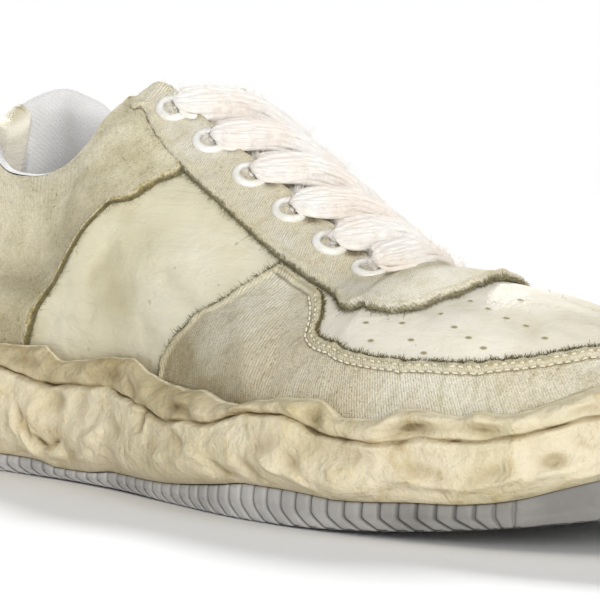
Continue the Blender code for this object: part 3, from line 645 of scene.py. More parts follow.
# %% [markdown]
# ## Brushed canvas
#
# The ankle panel, the mudguard and the eyestay are worn canvas with the nap
# brushed up.  The cloth map is in metres, so a twill line keeps its pitch
# everywhere.  Long soft streaks run up the cloth where the nap is rubbed, and
# within a millimetre or so of a raw edge the threads go dark olive.

# %% One canvas, dyed three ways
TWILL_PITCH, YARN_PITCH = 0.00075, 0.00052


def canvas(name, light, dark, twill, streaks, fray, rubbed=1.0):
    """Brushed canvas: strength of its twill, streaks, frayed stripe and rubbed nap."""
    f = Finish(name, Specular_IOR_Level=0.12, Sheen_Weight=0.12, Sheen_Roughness=0.6)
    edge = f.mark("edge")
    frayed = f.noise(0.0016, 3.0, 0.7)
    line = f.waves(f.across + f.upward * 0.42, TWILL_PITCH) * 0.5 + 0.5
    yarn = f.waves(f.upward, YARN_PITCH) * 0.5 + 0.5
    streak = f.noise(0.0026, 5.0, 0.70, f.cloth(1.0, 0.45))
    patch = f.noise(0.024, 4.0, 0.62, lacing=0.8)
    nap = f.noise(0.00065, 2.0, 0.7)
    cloth = f.mix(patch.between(0.32, 0.68), light, dark)
    cloth = f.tint(streak.between(0.46, 0.68) * streaks, cloth, dye("c4bb9c"))
    cloth = f.tint(nap.between(0.42, 0.70) * 0.42 * rubbed, cloth, dye("b8ae90"))
    cloth = f.tint(line * 0.22 * twill * rubbed, cloth, dye("b9ae8c"))
    speck = f.noise(0.00085, 2.0, 0.6).between(0.58, 0.70) * patch.between(0.42, 0.62)
    cloth = f.tint(speck * 0.55, cloth, dye("94864f"))
    cloth = f.mix(nap.between(0.60, 0.70) * 0.5, cloth, dye("fffaec"))
    cloth = f.tint(f.mark("seam") * 0.80, cloth, dye("8d8261"))
    cloth = f.tint(f.mark("low") * (0.45 + patch * 0.8), cloth, dye("a89d7e"))
    # A lighter band over the rolled lip just inside a raw edge: a painted highlight on the roll.
    rim = edge.between(0.0008, 0.0016) * (1.0 - edge.between(0.0026, 0.0042))
    cloth = f.mix(rim * 0.45, cloth, dye("f3ebcb"))
    stripe = (1.0 - (edge + frayed * 0.0012).between(0.0026, 0.0036)) * fray
    cloth = f.tint(stripe * frayed.between(0.38, 0.62), cloth, dye("ddd3a8"))
    cloth = f.tint(stripe * nap.between(0.54, 0.64) * 0.55, cloth, dye("8f8454"))
    # Painted shadow of the lace bars on the eyestay.
    cloth = f.tint(f.mark("bar_shadow") * (0.5 + 0.8 * nap), cloth, dye("7a6f4c"))
    raw = 1.0 - (edge + frayed * 0.0020 - f.mark("low") * 0.0009).between(0.0011, 0.0018)
    cloth = f.mix(raw * 0.85, cloth, dye("756b42"))
    surface = (nap * 0.60 + streak * 0.22 + line * 0.16 * twill + yarn * 0.10 * twill
               + frayed * 0.30)
    return f.paint(cloth, 0.90, surface, 0.0010)


ANKLE_CANVAS = canvas("khaki_canvas", dye("faf2d8"), dye("e1d8b6"), 0.5, 0.30, 1.0)
GUARD_CANVAS = canvas("beige_canvas", dye("fffbea"), dye("f5ebd2"), 1.0, 0.45, 0.5)
STAY_CANVAS = canvas("stay_canvas", dye("fffaea"), dye("f6ebcb"), 1.2, 0.28, 0.2, 0.50)

# %% Padded lining and sock cloth
MESH_PITCH, WEFT_PITCH = 0.0016, 0.0011
f = Finish("lining_mesh", Specular_IOR_Level=0.15, Sheen_Weight=0.25)
hole = (f.waves(f.across, MESH_PITCH) * f.waves(f.upward, MESH_PITCH)).between(0.15, 0.9)
film = f.noise(0.02, 3.0, 0.5)
white = f.mix(film.between(0.4, 0.7), dye("f3f2f1"), dye("e6e4e2"))
white = f.tint(hole * 0.08, white, dye("c8c6c6"))
# Painted shade: darker deep inside the shoe and in a fold of the collar padding.
white = f.tint(f.mark("lining_shade") * 0.75, white, dye("8f8d8f"))
LINING = f.paint(white, 0.92, f.noise(0.0008, 2.0, 0.6) * 0.4 - hole * 0.15, 0.0005)

f = Finish("sock_cloth", Specular_IOR_Level=0.12)
weft = f.waves(f.across, WEFT_PITCH) * f.waves(f.upward, WEFT_PITCH)
worn = f.noise(0.03, 4.0, 0.6)
sock = f.mix(worn.between(0.4, 0.65), dye("d9d4c6"), dye("b7b0a0"))
SOCK = f.paint(sock, 0.92, weft * 0.3 + f.noise(0.0012, 2.0, 0.6) * 0.5, 0.0005)

# %% [markdown]
# ## The upper
#
# The shell is one sheet of the wall: the quarter and the toe box are the same
# leather, and the panels lie over it.  A second sheet is its inside face.

# %% Shell of the upper, with painted light on the toe, painted shade, and the mark of dirt low down
WELD = 0.00002


def whole_turn(columns):
    """Turns once round the shoe."""
    return np.arange(columns) * 2.0 / columns


T, U = np.meshgrid(whole_turn(880), np.linspace(0.0, 1.0, 79), indexing="ij")
_, share = halves(T)
# A patch of painted shade on the quarter.
quarter_shade_patch = np.exp(-((T - 0.42) / 0.035) ** 2 - ((U - 0.34) / 0.10) ** 2)
shell = sheet("upper_shell", skin(T, U), closed=True, weld=WELD, marks={
    # painted light: the toe box is paler, as if lit on its top
    "toe": held((share - 0.60) / 0.06),
    "low": np.exp(-np.maximum(U - 0.13, 0.0) / 0.07),
    # painted shade: crease troughs, the patch on the quarter and the front of the toe
    "shade": (held(-folds(T, U) / 0.0010) * 0.30 + quarter_shade_patch * 0.45
              + 0.55 * held((share - 0.84) / 0.14)),
})
dress(shell, LEATHER, "cream_leather", "upper")

T, U = np.meshgrid(whole_turn(240), np.linspace(0.02, 1.0, 40), indexing="ij")
# The inside face is painted darker towards its foot, as shade.
inside = sheet("upper_inside", skin(T, U, -UPPER_WALL), closed=True, turned=True, weld=WELD,
               marks={"lining_shade": held(1.0 - U) * 0.7})
dress(inside, LINING, "white_lining")

# %% [markdown]
# ## The panels
#
# Each panel is a sheet between a lower and an upper line on the wall.  Cloth
# cut and sewn down is thickest just inside its edge, where it rolls, and thins
# to nothing where the threads have pulled out.  So the lift of each point
# follows from its distance to the nearest raw edge.


# %% Rows that crowd towards an edge
def graded(count, low_end=False, high_end=True, power=1.7):
    t = np.linspace(0.0, 1.0, count)
    if low_end and high_end:
        half = np.abs(2 * t - 1)
        return 0.5 + 0.5 * np.sign(2 * t - 1) * (1 - (1 - half) ** power)
    if high_end:
        return 1 - (1 - t) ** power
    return t ** power


def rolled(distance, wall, roll):
    """Lift of a panel's face by distance from its raw edge."""
    body = 1.0 - np.exp(-(distance / 0.00045) ** 1.3)
    rim = bell(distance - 0.0019, 0.0011)
    return GAP * 0.3 + (GAP + wall) * body + roll * rim


def ragged(turn, size, depth, seed):
    """Small uneven steps of a torn edge."""
    where = np.stack([turn * TURN_LENGTH / size, np.zeros_like(turn), np.full_like(turn, seed)], -1)
    values = [noise.noise(Vector(p)) for p in where.reshape(-1, 3).tolist()]
    return depth * np.array(values).reshape(turn.shape)


def panel(name, T, U, wall, free, low=0.0, seat=0.0, seams=(), roll=0.00075, bar_shadow=0.0,
          tucked=False):
    """Sheet over the wall with rolled raw edges; free names the raw sides of the grid."""
    flat = skin(T, U, 0.0)
    distance = np.full(T.shape, 1.0)
    down_rows, along_columns = lengths(flat, 1), lengths(flat, 0)
    from_side = {"high": down_rows[:, -1:] - down_rows, "low": down_rows,
                 "start": along_columns, "end": along_columns[-1:] - along_columns}
    for raw_side in free:
        distance = np.minimum(distance, from_side[raw_side])
    crumple = bell(distance, 0.0035)
    uneven = 0.0008 * grain(flat, 0.0034, 5.0) + 0.0004 * grain(flat, 0.0013, 8.0)
    points = skin(T, U, rolled(distance, wall, roll) + uneven * crumple + seat)
    seam = np.zeros(T.shape)
    for inset in seams:
        seam = np.maximum(seam, bell(down_rows[:, -1:] - down_rows - inset, 0.00045))
    marks = {"edge": distance, "low": low + 0.0 * T, "seam": seam, "bar_shadow": bar_shadow + 0.0 * T}
    if tucked:
        points = np.concatenate([points, skin(T[:, -1:], np.ones_like(T[:, -1:]), 0.0004)], 1)
        marks = {key: np.concatenate([m, m[:, -1:]], 1) for key, m in marks.items()}
    return sheet(name, points, marks=marks)


# %% Mudguard: low share, low up, high share, high up
MUDGUARD = [
    (0.484, 0.100, 0.598, 0.722), (0.512, 0.100, 0.622, 0.715),
    (0.552, 0.100, 0.640, 0.700), (0.598, 0.100, 0.655, 0.600),
    (0.628, 0.100, 0.662, 0.515), (0.660, 0.100, 0.685, 0.435),
    (0.700, 0.100, 0.715, 0.390), (0.750, 0.100, 0.760, 0.378),
    (0.810, 0.100, 0.812, 0.395), (0.870, 0.100, 0.872, 0.453),
    (0.925, 0.100, 0.925, 0.512), (1.000, 0.100, 1.000, 0.540),
]
# share of the rear edge, height by height
GUARD_REAR = [
    (0.100, 0.487), (0.155, 0.493), (0.215, 0.498), (0.275, 0.513), (0.338, 0.530),
    (0.390, 0.541), (0.443, 0.558), (0.603, 0.587), (0.722, 0.598),
]


def table_grid(table, columns, rows):
    """Turn and up over an edge table, outer side through the toe to the inner side."""
    last = len(table) - 1
    numbered = [(k / last, *row) for k, row in enumerate(table)]
    t = np.linspace(0.0, 1.0, columns)
    t = np.concatenate([t, t[-2::-1]])
    inner = np.arange(len(t)) >= columns
    cells = [column(numbered, t, c) for c in (1, 2, 3, 4)]
    r = rows[None, :]
    share = cells[0][:, None] * (1 - r) + cells[2][:, None] * r
    up = cells[1][:, None] * (1 - r) + cells[3][:, None] * r
    turn = np.where(inner[:, None], 2.0 - share, share)
    return turn, up


SEAMS = (0.0023, 0.0041)
GUARD_ROWS = graded(72, power=1.5)
T, U = table_grid(MUDGUARD, 250, GUARD_ROWS)
_, share = halves(T)
straight = MUDGUARD[0][0] + (MUDGUARD[0][2] - MUDGUARD[0][0]) * GUARD_ROWS[None, :]
bow = column(GUARD_REAR, U[:1], 1) - straight
T = T + bow * np.exp(-(share - straight) / 0.035) * np.where(T > 1.0, -1.0, 1.0)
tear = ragged(T, 0.0022, 0.0060, 1.0) + ragged(T, 0.0075, 0.0080, 4.0)
U = U + tear * GUARD_ROWS[None, :] ** 6
guard_rear = bell(share - straight, 0.068) * (1 - 0.75 * held((U - 0.30) / 0.30))
guard_foot = np.exp(-np.maximum(U - 0.16, 0.0) / 0.08) * (1 - 0.8 * held((share - 0.60) / 0.12))
guard = panel("mudguard_cloth", T, U, OVERLAY_WALL, ("high", "start", "end"),
              held(guard_foot + 0.80 * guard_rear), seams=SEAMS)
dress(guard, GUARD_CANVAS, "worn_canvas", "mudguard")
guard_grid = (T, U)

# %% Ankle panel: up the wall, share of its front edge
ANKLE_FRONT = [
    (0.100, 0.303), (0.250, 0.313), (0.350, 0.322), (0.430, 0.336), (0.490, 0.358), (0.530, 0.384),
    (0.570, 0.416), (0.620, 0.445), (0.720, 0.470), (0.800, 0.486), (0.880, 0.455), (0.985, 0.400),
]
rows = np.linspace(0.10, 0.992, 72)
spread = 2 * graded(420, low_end=True, high_end=True, power=1.25) - 1
front = column(ANKLE_FRONT, rows, 1)
S, U = np.meshgrid(spread, rows, indexing="ij")
T = -S * front[None, :]
T = T + ragged(U * 0.3 + S, 0.0022, 0.0016, 9.0) * np.abs(S) ** 8
ankle_low = (np.exp(-np.maximum(U - 0.14, 0.0) / 0.10) * 0.9
             + 0.44 * bell(U - 0.48, 0.22))
ankle = panel("ankle_panel_cloth", T, U, OVERLAY_WALL, ("start", "end"), ankle_low,
              roll=0.00035, tucked=True)
dress(ankle, ANKLE_CANVAS, "worn_canvas", "ankle_panel")
ankle_grid = (T, U)

# %% Eyestay: outer share, outer up, inner share, inner up
EYESTAY = [
    (0.403, 0.940, 0.412, 0.985), (0.415, 0.882, 0.430, 0.985),
    (0.445, 0.836, 0.460, 0.985), (0.495, 0.795, 0.505, 0.985),
    (0.555, 0.760, 0.560, 0.985), (0.605, 0.730, 0.605, 0.985),
    (0.643, 0.722, 0.635, 0.985), (0.668, 0.640, 0.652, 0.985),
    (0.703, 0.588, 0.666, 0.985), (0.738, 0.605, 0.677, 0.987),
    (0.768, 0.710, 0.686, 0.992), (0.796, 0.830, 0.693, 0.997),
    (0.803, 1.000, 0.700, 1.000),
]
EYELETS = [
    (0.445, 0.935), (0.490, 0.930), (0.533, 0.922), (0.575, 0.912), (0.614, 0.905), (0.650, 0.905),
]


def eyelet_axes(side, number):
    """Middle of an eyelet, then its ways across, along and out."""
    share, up = EYELETS[number]
    turn = share if side < 0 else 2 - share
    ahead_turn = 0.01 if side < 0 else -0.01

    def at(grid, q):
        return ask(grid, np.array([q]), np.array([up]))[0]

    normal = at(wall_out, turn)
    normal = arrows(normal)
    ahead = at(wall, turn + ahead_turn) - at(wall, turn - ahead_turn)
    along = ahead - normal * (ahead @ normal)
    along = arrows(along)
    lift = GAP + EYESTAY_WALL + 2 * GAP
    return at(wall, turn) + normal * lift, np.cross(along, normal), along, normal


stay_rows = graded(34, low_end=True, high_end=True, power=1.4)
T, U = table_grid(EYESTAY, 210, stay_rows)
after = held((np.arange(len(T)) - len(T) // 2) / 30.0)[:, None]
T = T + np.where(T > 1.0, 0.036 * np.sin(after * pi / 2) * bell(T - 1.2, 0.06), 0.0)
tear = ragged(T, 0.0020, 0.0045, 21.0) * (1 - stay_rows[None, :]) ** 5
U = U + tear * (np.abs(1.0 - np.linspace(-1, 1, T.shape[0]) ** 2)[:, None] ** 0.2 > 0.3)
flat = skin(T, U, GAP + EYESTAY_WALL)
# Painted shadow of each lace bar on the eyestay, beside its eyelet; under the last bar it runs along the whole
# bar.
bar_shadow = np.zeros(T.shape)
for n in range(6):
    for side in (-1, 1):
        spot, _, along, normal = eyelet_axes(side, n)
        across_throat = eyelet_axes(-side, min(n + 1, 5) if side < 0 else n)[0] - spot
        start = spot + along * 0.0050 + across_throat * 0.06
        way = across_throat * (0.28 if n < 5 else 0.9) + along * 0.0030
        t = held(((flat - start) @ way) / (way @ way))
        near_bar = np.linalg.norm(flat - start - t[..., None] * way, axis=-1)
        bar_shadow = np.maximum(bar_shadow, bell(near_bar, 0.0015))
stay = panel("eyestay_cloth", T, U, EYESTAY_WALL, ("low", "high", "start", "end"),
             seat=0.0006, bar_shadow=bar_shadow)
dress(stay, STAY_CANVAS, "worn_canvas", "eyestay")
stay_grid = (T, U)

# %% Heel tab, folded over the rim into the collar
tab_up = np.concatenate([np.linspace(0.50, 0.985, 26), np.full(5, 1.0), np.linspace(0.985, 0.66, 20)])
tab_lift = np.concatenate([[0.0014, 0.0022], np.full(24, 0.0026),
                           [0.0020, 0.0006, -0.0030, -0.0075, -0.0092], np.full(20, -0.0096)])
tab_rise = np.concatenate([np.zeros(26), [0.0012, 0.0019, 0.0024, 0.0017, 0.0006], np.zeros(20)])
spread = np.linspace(-1, 1, 41)
T = -spread[:, None] * (0.062 - 0.026 * np.linspace(0, 1, len(tab_up)))[None, :]
U = np.broadcast_to(tab_up[None, :], T.shape)
side_roll = 1.0 - np.exp(-((1 - np.abs(spread)) * 22 / 1.2) ** 1.5)
lift = np.where(tab_lift[None, :] > 0, tab_lift[None, :] * (0.45 + 0.55 * side_roll[:, None]),
                tab_lift[None, :] + 0.0008 * (1 - side_roll[:, None]))
tab_points = skin(T, U, lift)
tab_points[..., 2] += tab_rise[None, :]
from_side = (1 - np.abs(spread))[:, None] * 22.0 + 0 * U
from_low = np.concatenate([lengths(tab_points[:, :26], 1), np.full((41, len(tab_up) - 26), 0.03)], 1) * 1000
from_edge = np.minimum(from_side, from_low)
tab_shade = bell(from_edge - 2.2, 0.7) + 0.8 * np.exp(-from_edge / 0.5)
# The part folded into the collar is painted paler against its shade; the outer part is darker towards its foot
# and along its seam line and edges.
folded_in = np.broadcast_to((np.arange(len(tab_up)) > 28)[None, :], T.shape) * 1.0
tab = sheet("heel_tab_leather", tab_points, marks={
    "toe": folded_in, "low": (0.25 + 0.5 * np.exp(-from_low / 9.0)) * (1 - folded_in),
    "shade": held(tab_shade) * (1 - 0.8 * folded_in)})
dress(tab, LEATHER, "cream_leather", "heel_tab")

# %% [markdown]
# ## Padded collar
#
# The collar is a bag of foam in white mesh cloth, sewn to the rim and to the
# lining below.  Its section is one curve: over the rim, out into the shoe
# where the foam is thickest, and back to the wall.

# %% Collar lining
COLLAR_FRONT = 0.385
pad_up = np.array([1.000, 1.000, 0.990, 0.955, 0.90, 0.84, 0.76, 0.68, 0.60, 0.54, 0.50, 0.49])
pad_in = np.array([0.0004, -0.0012, -0.0040, -0.0072, -0.0088, -0.0090,
                   -0.0082, -0.0066, -0.0046, -0.0032, -0.0026, -0.0022])
pad_rise = np.array([0.0003, 0.0014, 0.0018, 0.0012, 0.0004, 0, 0, 0, 0, 0, 0, 0])
rows = np.linspace(0, 1, 44)
knots = np.linspace(0, 1, len(pad_up))
pad_table = [(k, a, b, c) for k, a, b, c in zip(knots, pad_up, pad_in, pad_rise)]
pad_up, pad_in, pad_rise = (column(pad_table, rows, c) for c in (1, 2, 3))
spread = np.linspace(-1, 1, 261)
T = -spread[:, None] * np.full((1, len(rows)), COLLAR_FRONT)
U = np.broadcast_to(pad_up[None, :], T.shape)
ends = held((1 - np.abs(spread)) * COLLAR_FRONT / 0.055)[:, None] ** 0.6
puckers = 0.00035 * np.sin(T * 160.0 + 2.0 * np.sin(T * 31.0)) * held((1.0 - rows) * 3)[None, :]
lift = -0.0019 + (pad_in[None, :] + 0.0019) * (0.25 + 0.75 * ends) + puckers
pad_points = skin(T, U, lift)
pad_points[..., 2] += pad_rise[None, :] * (0.4 + 0.6 * ends)
# Painted shade: darker low in the padding, and a grey fold shadow between its two puffs on the inner side.
sag = 0.55 * bell(T + 0.13, 0.045) * held((0.995 - U) / 0.06)
lining_shade = held(held((0.80 - U) / 0.35) * 0.5 + sag)
pad = sheet("collar_padding", pad_points, marks={"lining_shade": lining_shade}, turned=True)
dress(pad, LINING, "white_lining", "collar_lining")

# %% [markdown]
# ## Tongue and insole
#
# The tongue is a padded flap under the laces: a crowned cushion that lies in
# the throat.  The insole is a thin foam sock on the floor of the shoe.

# %% Tongue
TONGUE_ROWS = [
    (0.735, 0.30), (0.690, 0.55), (0.640, 0.75), (0.580, 0.85), (0.510, 0.92), (0.450, 0.96),
    (0.405, 0.90),
]
TONGUE_WALL = 0.0040
s = np.linspace(0, 1, 90)
tongue_table = [(k / 6, *row) for k, row in enumerate(TONGUE_ROWS)]
tongue_share, width = column(tongue_table, s, 1), column(tongue_table, s, 2)
edge_share = np.minimum(tongue_share, THROAT_END - 0.004)
left, right = (ask(wall, turn, np.full(len(s), 0.90)) for turn in (edge_share, 2 - edge_share))
half = 0.5 * (right[:, 1] - left[:, 1]) * width
middle = 0.5 * (right[:, 1] + left[:, 1])
ridge_x = column(TOP_EDGE, tongue_share, 1, TOP_CORNERS) * SOLE_LENGTH - 0.001
ridge_z = column(TOP_EDGE, tongue_share, 3, TOP_CORNERS) * INSTEP_HEIGHT + 0.0005
angle = np.linspace(0, 2 * pi, 65)[:-1]
flat_x = np.sign(np.cos(angle)) * np.abs(np.cos(angle)) ** 0.55
flat_z = np.sign(np.sin(angle)) * np.abs(np.sin(angle)) ** 0.80
drop = UPPER_WALL + GAP + 0.0012 + TONGUE_WALL / 2
closing = np.minimum(1.0, np.minimum(s, 1 - s) * 22 + 0.15)
across = half[:, None] * flat_x[None, :] * (0.94 + 0.06 * closing[:, None])
sag = 0.42 * half[:, None] * flat_x[None, :] ** 2
thick = TONGUE_WALL / 2 * flat_z[None, :] * closing[:, None]
tongue_points = np.stack([
    np.broadcast_to(ridge_x[:, None], across.shape), middle[:, None] + across,
    ridge_z[:, None] - drop - sag + thick], -1)
tongue_points[..., 2] += 0.0003 * np.sin(s * 140.0)[:, None] * (flat_z > 0)
tongue = sheet("tongue_pad", tongue_points.transpose(1, 0, 2), closed=True, turned=True,
               marks={"edge": np.full((64, 90), 0.01)})
dress(tongue, STAY_CANVAS, "worn_canvas", "tongue")

# %% Insole
turns = whole_turn(300)
floor_z = sole_height(turns, 4) - CUP_DEPTH
edge_up = np.array([np.interp(floor_z[i] + INSOLE_WALL, wall_z, wall_up)
                    for i, wall_z in enumerate(ask(wall, turns[:, None], wall_up[None, :])[..., 2])])
rim = ask(wall, turns, edge_up) - ask(wall_out, turns, edge_up) * (UPPER_WALL + 2 * GAP)
rows = []
spine = np.column_stack([np.clip(rim[:, 0], 0.045, 0.235), np.zeros(len(rim))])
inward = arrows(spine - rim[:, :2])
for inset, rise in ((0.0, -0.0035), (0.0, -0.0005), (0.0010, 0.0), (0.004, 0.0),
                    (0.010, -0.0002), (0.018, -0.0004), (0.026, -0.0004)):
    rows.append(np.column_stack([rim[:, :2] + inward * inset, floor_z + INSOLE_WALL + rise]))
order = np.argsort(rim[:150, 0])
spine_z = np.interp(spine[:, 0], rim[:150, 0][order], floor_z[:150][order]) + INSOLE_WALL - 0.0004
rows.append(np.column_stack([spine, spine_z]))
insole = sheet("insole_sock", np.stack(rows, 1), closed=True, weld=WELD)
dress(insole, SOCK, "insole_foam", "insole")


# %% [markdown]
# ## The midsole
#
# The cup of cream rubber looks as if it had been pressed on by hand: a heavy
# lower mass, a crack that wanders along it, and a soft band above the crack.
# The crack and the rim of the outer side follow a list of measured stations.
# The inner side, which nobody sees in the portrait, gets calmer lines of the
# same kind.

# %% Stations of the outer side: share, height in mm
RIM_LINE = [
    (0.000, 41.2), (0.060, 41.0), (0.120, 40.4), (0.180, 39.2), (0.240, 37.9), (0.292, 37.1),
    (0.338, 37.8), (0.348, 36.0), (0.362, 34.2), (0.383, 34.8), (0.405, 36.0), (0.440, 37.0),
    (0.463, 37.0), (0.482, 35.1), (0.512, 32.8), (0.547, 31.9), (0.580, 31.5), (0.600, 30.2),
    (0.618, 29.8), (0.640, 31.4), (0.670, 33.2), (0.695, 33.4), (0.710, 32.2), (0.723, 29.9),
    (0.738, 30.0), (0.755, 30.9), (0.768, 33.0), (0.787, 33.5), (0.802, 33.1), (0.815, 32.5),
    (0.828, 34.3), (0.843, 34.0), (0.858, 34.8), (0.873, 36.8), (0.888, 39.0), (0.905, 41.4),
    (0.930, 43.6), (0.960, 45.6), (1.000, 47.1),
]
CRACK_LINE = [
    (0.000, 33.0), (0.080, 33.2), (0.160, 32.4), (0.240, 31.9), (0.288, 31.2), (0.323, 29.0),
    (0.350, 27.7), (0.393, 28.5), (0.438, 29.0), (0.460, 28.0), (0.508, 24.8), (0.542, 23.2),
    (0.575, 24.3), (0.600, 24.9), (0.620, 26.7), (0.633, 28.0), (0.652, 29.0), (0.674, 29.2),
    (0.688, 28.0), (0.703, 26.5), (0.718, 25.4), (0.750, 24.9), (0.772, 25.6), (0.787, 27.1),
    (0.820, 26.9), (0.835, 27.3), (0.850, 28.5), (0.866, 30.0), (0.888, 32.7), (0.905, 34.8),
    (0.930, 37.3), (0.960, 39.4), (1.000, 40.3),
]
LIP_LINE = [
    (0.000, 8.0), (0.080, 4.0), (0.160, 3.4), (0.240, 4.2), (0.302, 5.3), (0.343, 4.8),
    (0.360, 3.8), (0.403, 4.0), (0.440, 5.3), (0.482, 5.2), (0.522, 5.6), (0.593, 8.0),
    (0.640, 9.9), (0.672, 9.9), (0.698, 9.5), (0.723, 8.9), (0.750, 9.3), (0.782, 10.2),
    (0.812, 10.6), (0.838, 11.6), (0.863, 13.4), (0.890, 16.4), (0.915, 19.0), (0.950, 22.0),
    (1.000, 24.0),
]


def both_sides(line, place, turn, calm):
    """Height on the outer side from a line, on the inner side from the size table."""
    side, share = halves(turn)
    measured = column(line, share, 1, level_ends=True) * 0.001
    table = column(SOLE_SIDE, share, place, level_ends=True) * SOLE_HEIGHT
    if place == 2:
        table = table + column(SOLE_SIDE, share, 1, level_ends=True) * SOLE_HEIGHT
    wander = calm * (np.sin(share * 47.0 + place) + 0.7 * np.sin(share * 83.0 + 2 * place)) * 0.001
    inner = table + wander * np.sin(pi * share)
    meet = held((share - 0.90) / 0.10) ** 2 + held((0.10 - share) / 0.10) ** 2
    inner = inner * (1 - meet) + measured * meet
    return np.where(side < 0, measured, inner)


# %% Dents, pits and ridges pressed into the rubber
# turn, height in mm, length and width in mm, tilt in degrees, depth in mm
DENTS = [
    # band above the crack
    (0.325, 34.0, 13.0, 3.2, -6, -1.1), (0.438, 32.4, 15.0, 3.4, 3, -1.2),
    (0.400, 31.3, 8.0, 2.2, 10, 0.6), (0.475, 30.0, 7.0, 2.6, -40, -1.0),
    (0.556, 27.2, 14.0, 2.4, -10, -1.3), (0.590, 27.6, 6.0, 2.0, 0, 0.6),
    (0.640, 30.1, 12.0, 2.2, 8, 0.6), (0.703, 30.0, 5.2, 5.0, 0, -1.5),
    (0.685, 31.2, 6.0, 2.0, -30, 0.7), (0.785, 29.6, 13.0, 3.0, 4, -1.5),
    (0.760, 31.2, 6.0, 2.2, 20, 0.7), (0.832, 30.2, 12.0, 2.6, -4, -1.3),
    (0.856, 32.2, 6.0, 2.0, 40, 0.7), (0.905, 37.6, 10.0, 2.4, 20, -0.9),
    # hooked groove and its bright ridge near the frame's edge
    (0.328, 18.3, 5.0, 1.7, -60, -1.6), (0.338, 14.4, 6.0, 1.6, -70, -1.7),
    (0.352, 11.6, 6.0, 1.6, -25, -1.6), (0.371, 11.4, 6.0, 1.5, 15, -1.3),
    (0.323, 14.2, 6.5, 1.8, -60, 1.1), (0.341, 9.6, 7.0, 1.8, -50, 1.1),
    (0.370, 7.6, 10.0, 1.7, -8, 1.1), (0.408, 8.2, 10.0, 1.7, 8, 1.0),
    (0.440, 10.6, 9.0, 1.8, 28, 0.8), (0.372, 23.4, 7.5, 4.4, 0, -1.2),
    (0.300, 24.0, 8.0, 3.0, 20, 0.7), (0.345, 20.6, 7.0, 2.4, 40, 0.7),
    # deep pit and folds of the waist
    (0.500, 22.0, 2.6, 4.4, 0, -3.0), (0.500, 17.6, 5.0, 2.6, 20, 0.8),
    (0.490, 25.0, 6.0, 2.0, -30, 0.9), (0.512, 20.5, 3.0, 5.0, -20, 0.8),
    (0.462, 18.0, 9.0, 4.0, -20, -0.9), (0.430, 15.0, 9.0, 3.0, 30, 0.8),
    (0.565, 18.8, 10.0, 2.0, -24, -1.0), (0.590, 15.6, 10.0, 2.4, -20, 0.9),
    (0.620, 12.9, 9.0, 2.0, -12, -1.0), (0.540, 13.0, 10.0, 3.0, 20, 0.8),
    (0.662, 21.6, 9.0, 3.2, 10, -0.7), (0.610, 20.0, 7.0, 3.0, 30, 0.6),
    (0.672, 16.6, 8.0, 1.8, -34, 1.1), (0.695, 13.4, 8.0, 1.8, -28, 1.1),
    (0.690, 18.2, 8.0, 2.2, -30, -0.9), (0.650, 14.6, 8.0, 2.4, -30, -0.8),
    # lower lip toward the toe
    (0.777, 15.8, 9.0, 1.7, -8, 1.0), (0.806, 15.0, 9.0, 1.7, 0, 1.1),
    (0.834, 15.8, 8.0, 1.7, 14, 1.1), (0.853, 18.6, 6.0, 1.7, 36, 1.1),
    (0.790, 18.6, 12.0, 3.0, -6, -0.9), (0.840, 20.0, 9.0, 2.8, 20, -0.9),
    (0.883, 24.0, 6.0, 2.6, 10, -1.8), (0.880, 20.8, 10.0, 1.8, 8, 0.9),
    (0.910, 20.6, 10.0, 1.8, 12, 0.9), (0.740, 21.4, 9.0, 3.4, 0, -0.8),
    (0.745, 12.6, 10.0, 2.6, 4, 0.6), (0.930, 28.0, 9.0, 3.0, 24, -1.0),
    # heel, outer and rear
    (0.060, 20.0, 10.0, 4.0, 20, -1.1), (0.120, 14.0, 12.0, 3.0, -12, 0.9),
    (0.170, 22.0, 12.0, 3.0, 10, -1.1), (0.220, 13.0, 10.0, 2.6, 24, -1.0),
    (0.255, 19.0, 8.0, 3.0, -30, 0.9), (0.100, 36.6, 14.0, 3.0, 0, -1.0),
    (0.200, 35.4, 12.0, 3.0, 6, -1.0), (0.005, 37.0, 10.0, 3.0, 0, 0.7),
    # inner side
    (1.080, 24.0, 12.0, 3.0, 10, -1.1), (1.130, 16.0, 12.0, 2.6, -10, 0.9),
    (1.180, 30.0, 12.0, 3.0, 0, -1.1), (1.240, 18.0, 12.0, 3.0, 18, -1.1),
    (1.290, 12.0, 12.0, 2.4, 0, 0.9), (1.340, 21.0, 9.0, 4.0, -20, -1.2),
    (1.400, 29.0, 13.0, 3.0, 4, -1.2), (1.450, 15.0, 12.0, 2.6, -14, 1.0),
    (1.500, 22.0, 5.0, 4.4, 0, -1.8), (1.560, 11.0, 12.0, 2.6, 10, 0.9),
    (1.620, 19.0, 12.0, 3.0, -16, -1.2), (1.690, 13.0, 10.0, 2.6, 20, -1.0),
    (1.740, 34.6, 14.0, 3.0, 0, -1.0), (1.800, 20.0, 12.0, 3.4, -8, -1.1),
    (1.860, 14.0, 12.0, 2.6, 6, 0.9), (1.930, 22.0, 10.0, 3.4, -20, -1.0),
]


def dents(turn, z):
    """How far the hand marks push the rubber out, in metres."""
    total = np.zeros(turn.shape)
    for t0, height, length, width, tilt, depth in DENTS:
        around = (np.mod(turn - t0 + 1.0, 2.0) - 1.0) * (TURN_LENGTH * 1000.0)
        up = z * 1000.0 - height
        if t0 > 1.0:
            around = -around
        c, s = cos(radians(tilt)), sin(radians(tilt))
        x, y = around * c + up * s, up * c - around * s
        total += depth * 0.001 * np.exp(-(x / (length * 0.55)) ** 2 - (y / (width * 0.62)) ** 2)
    return total


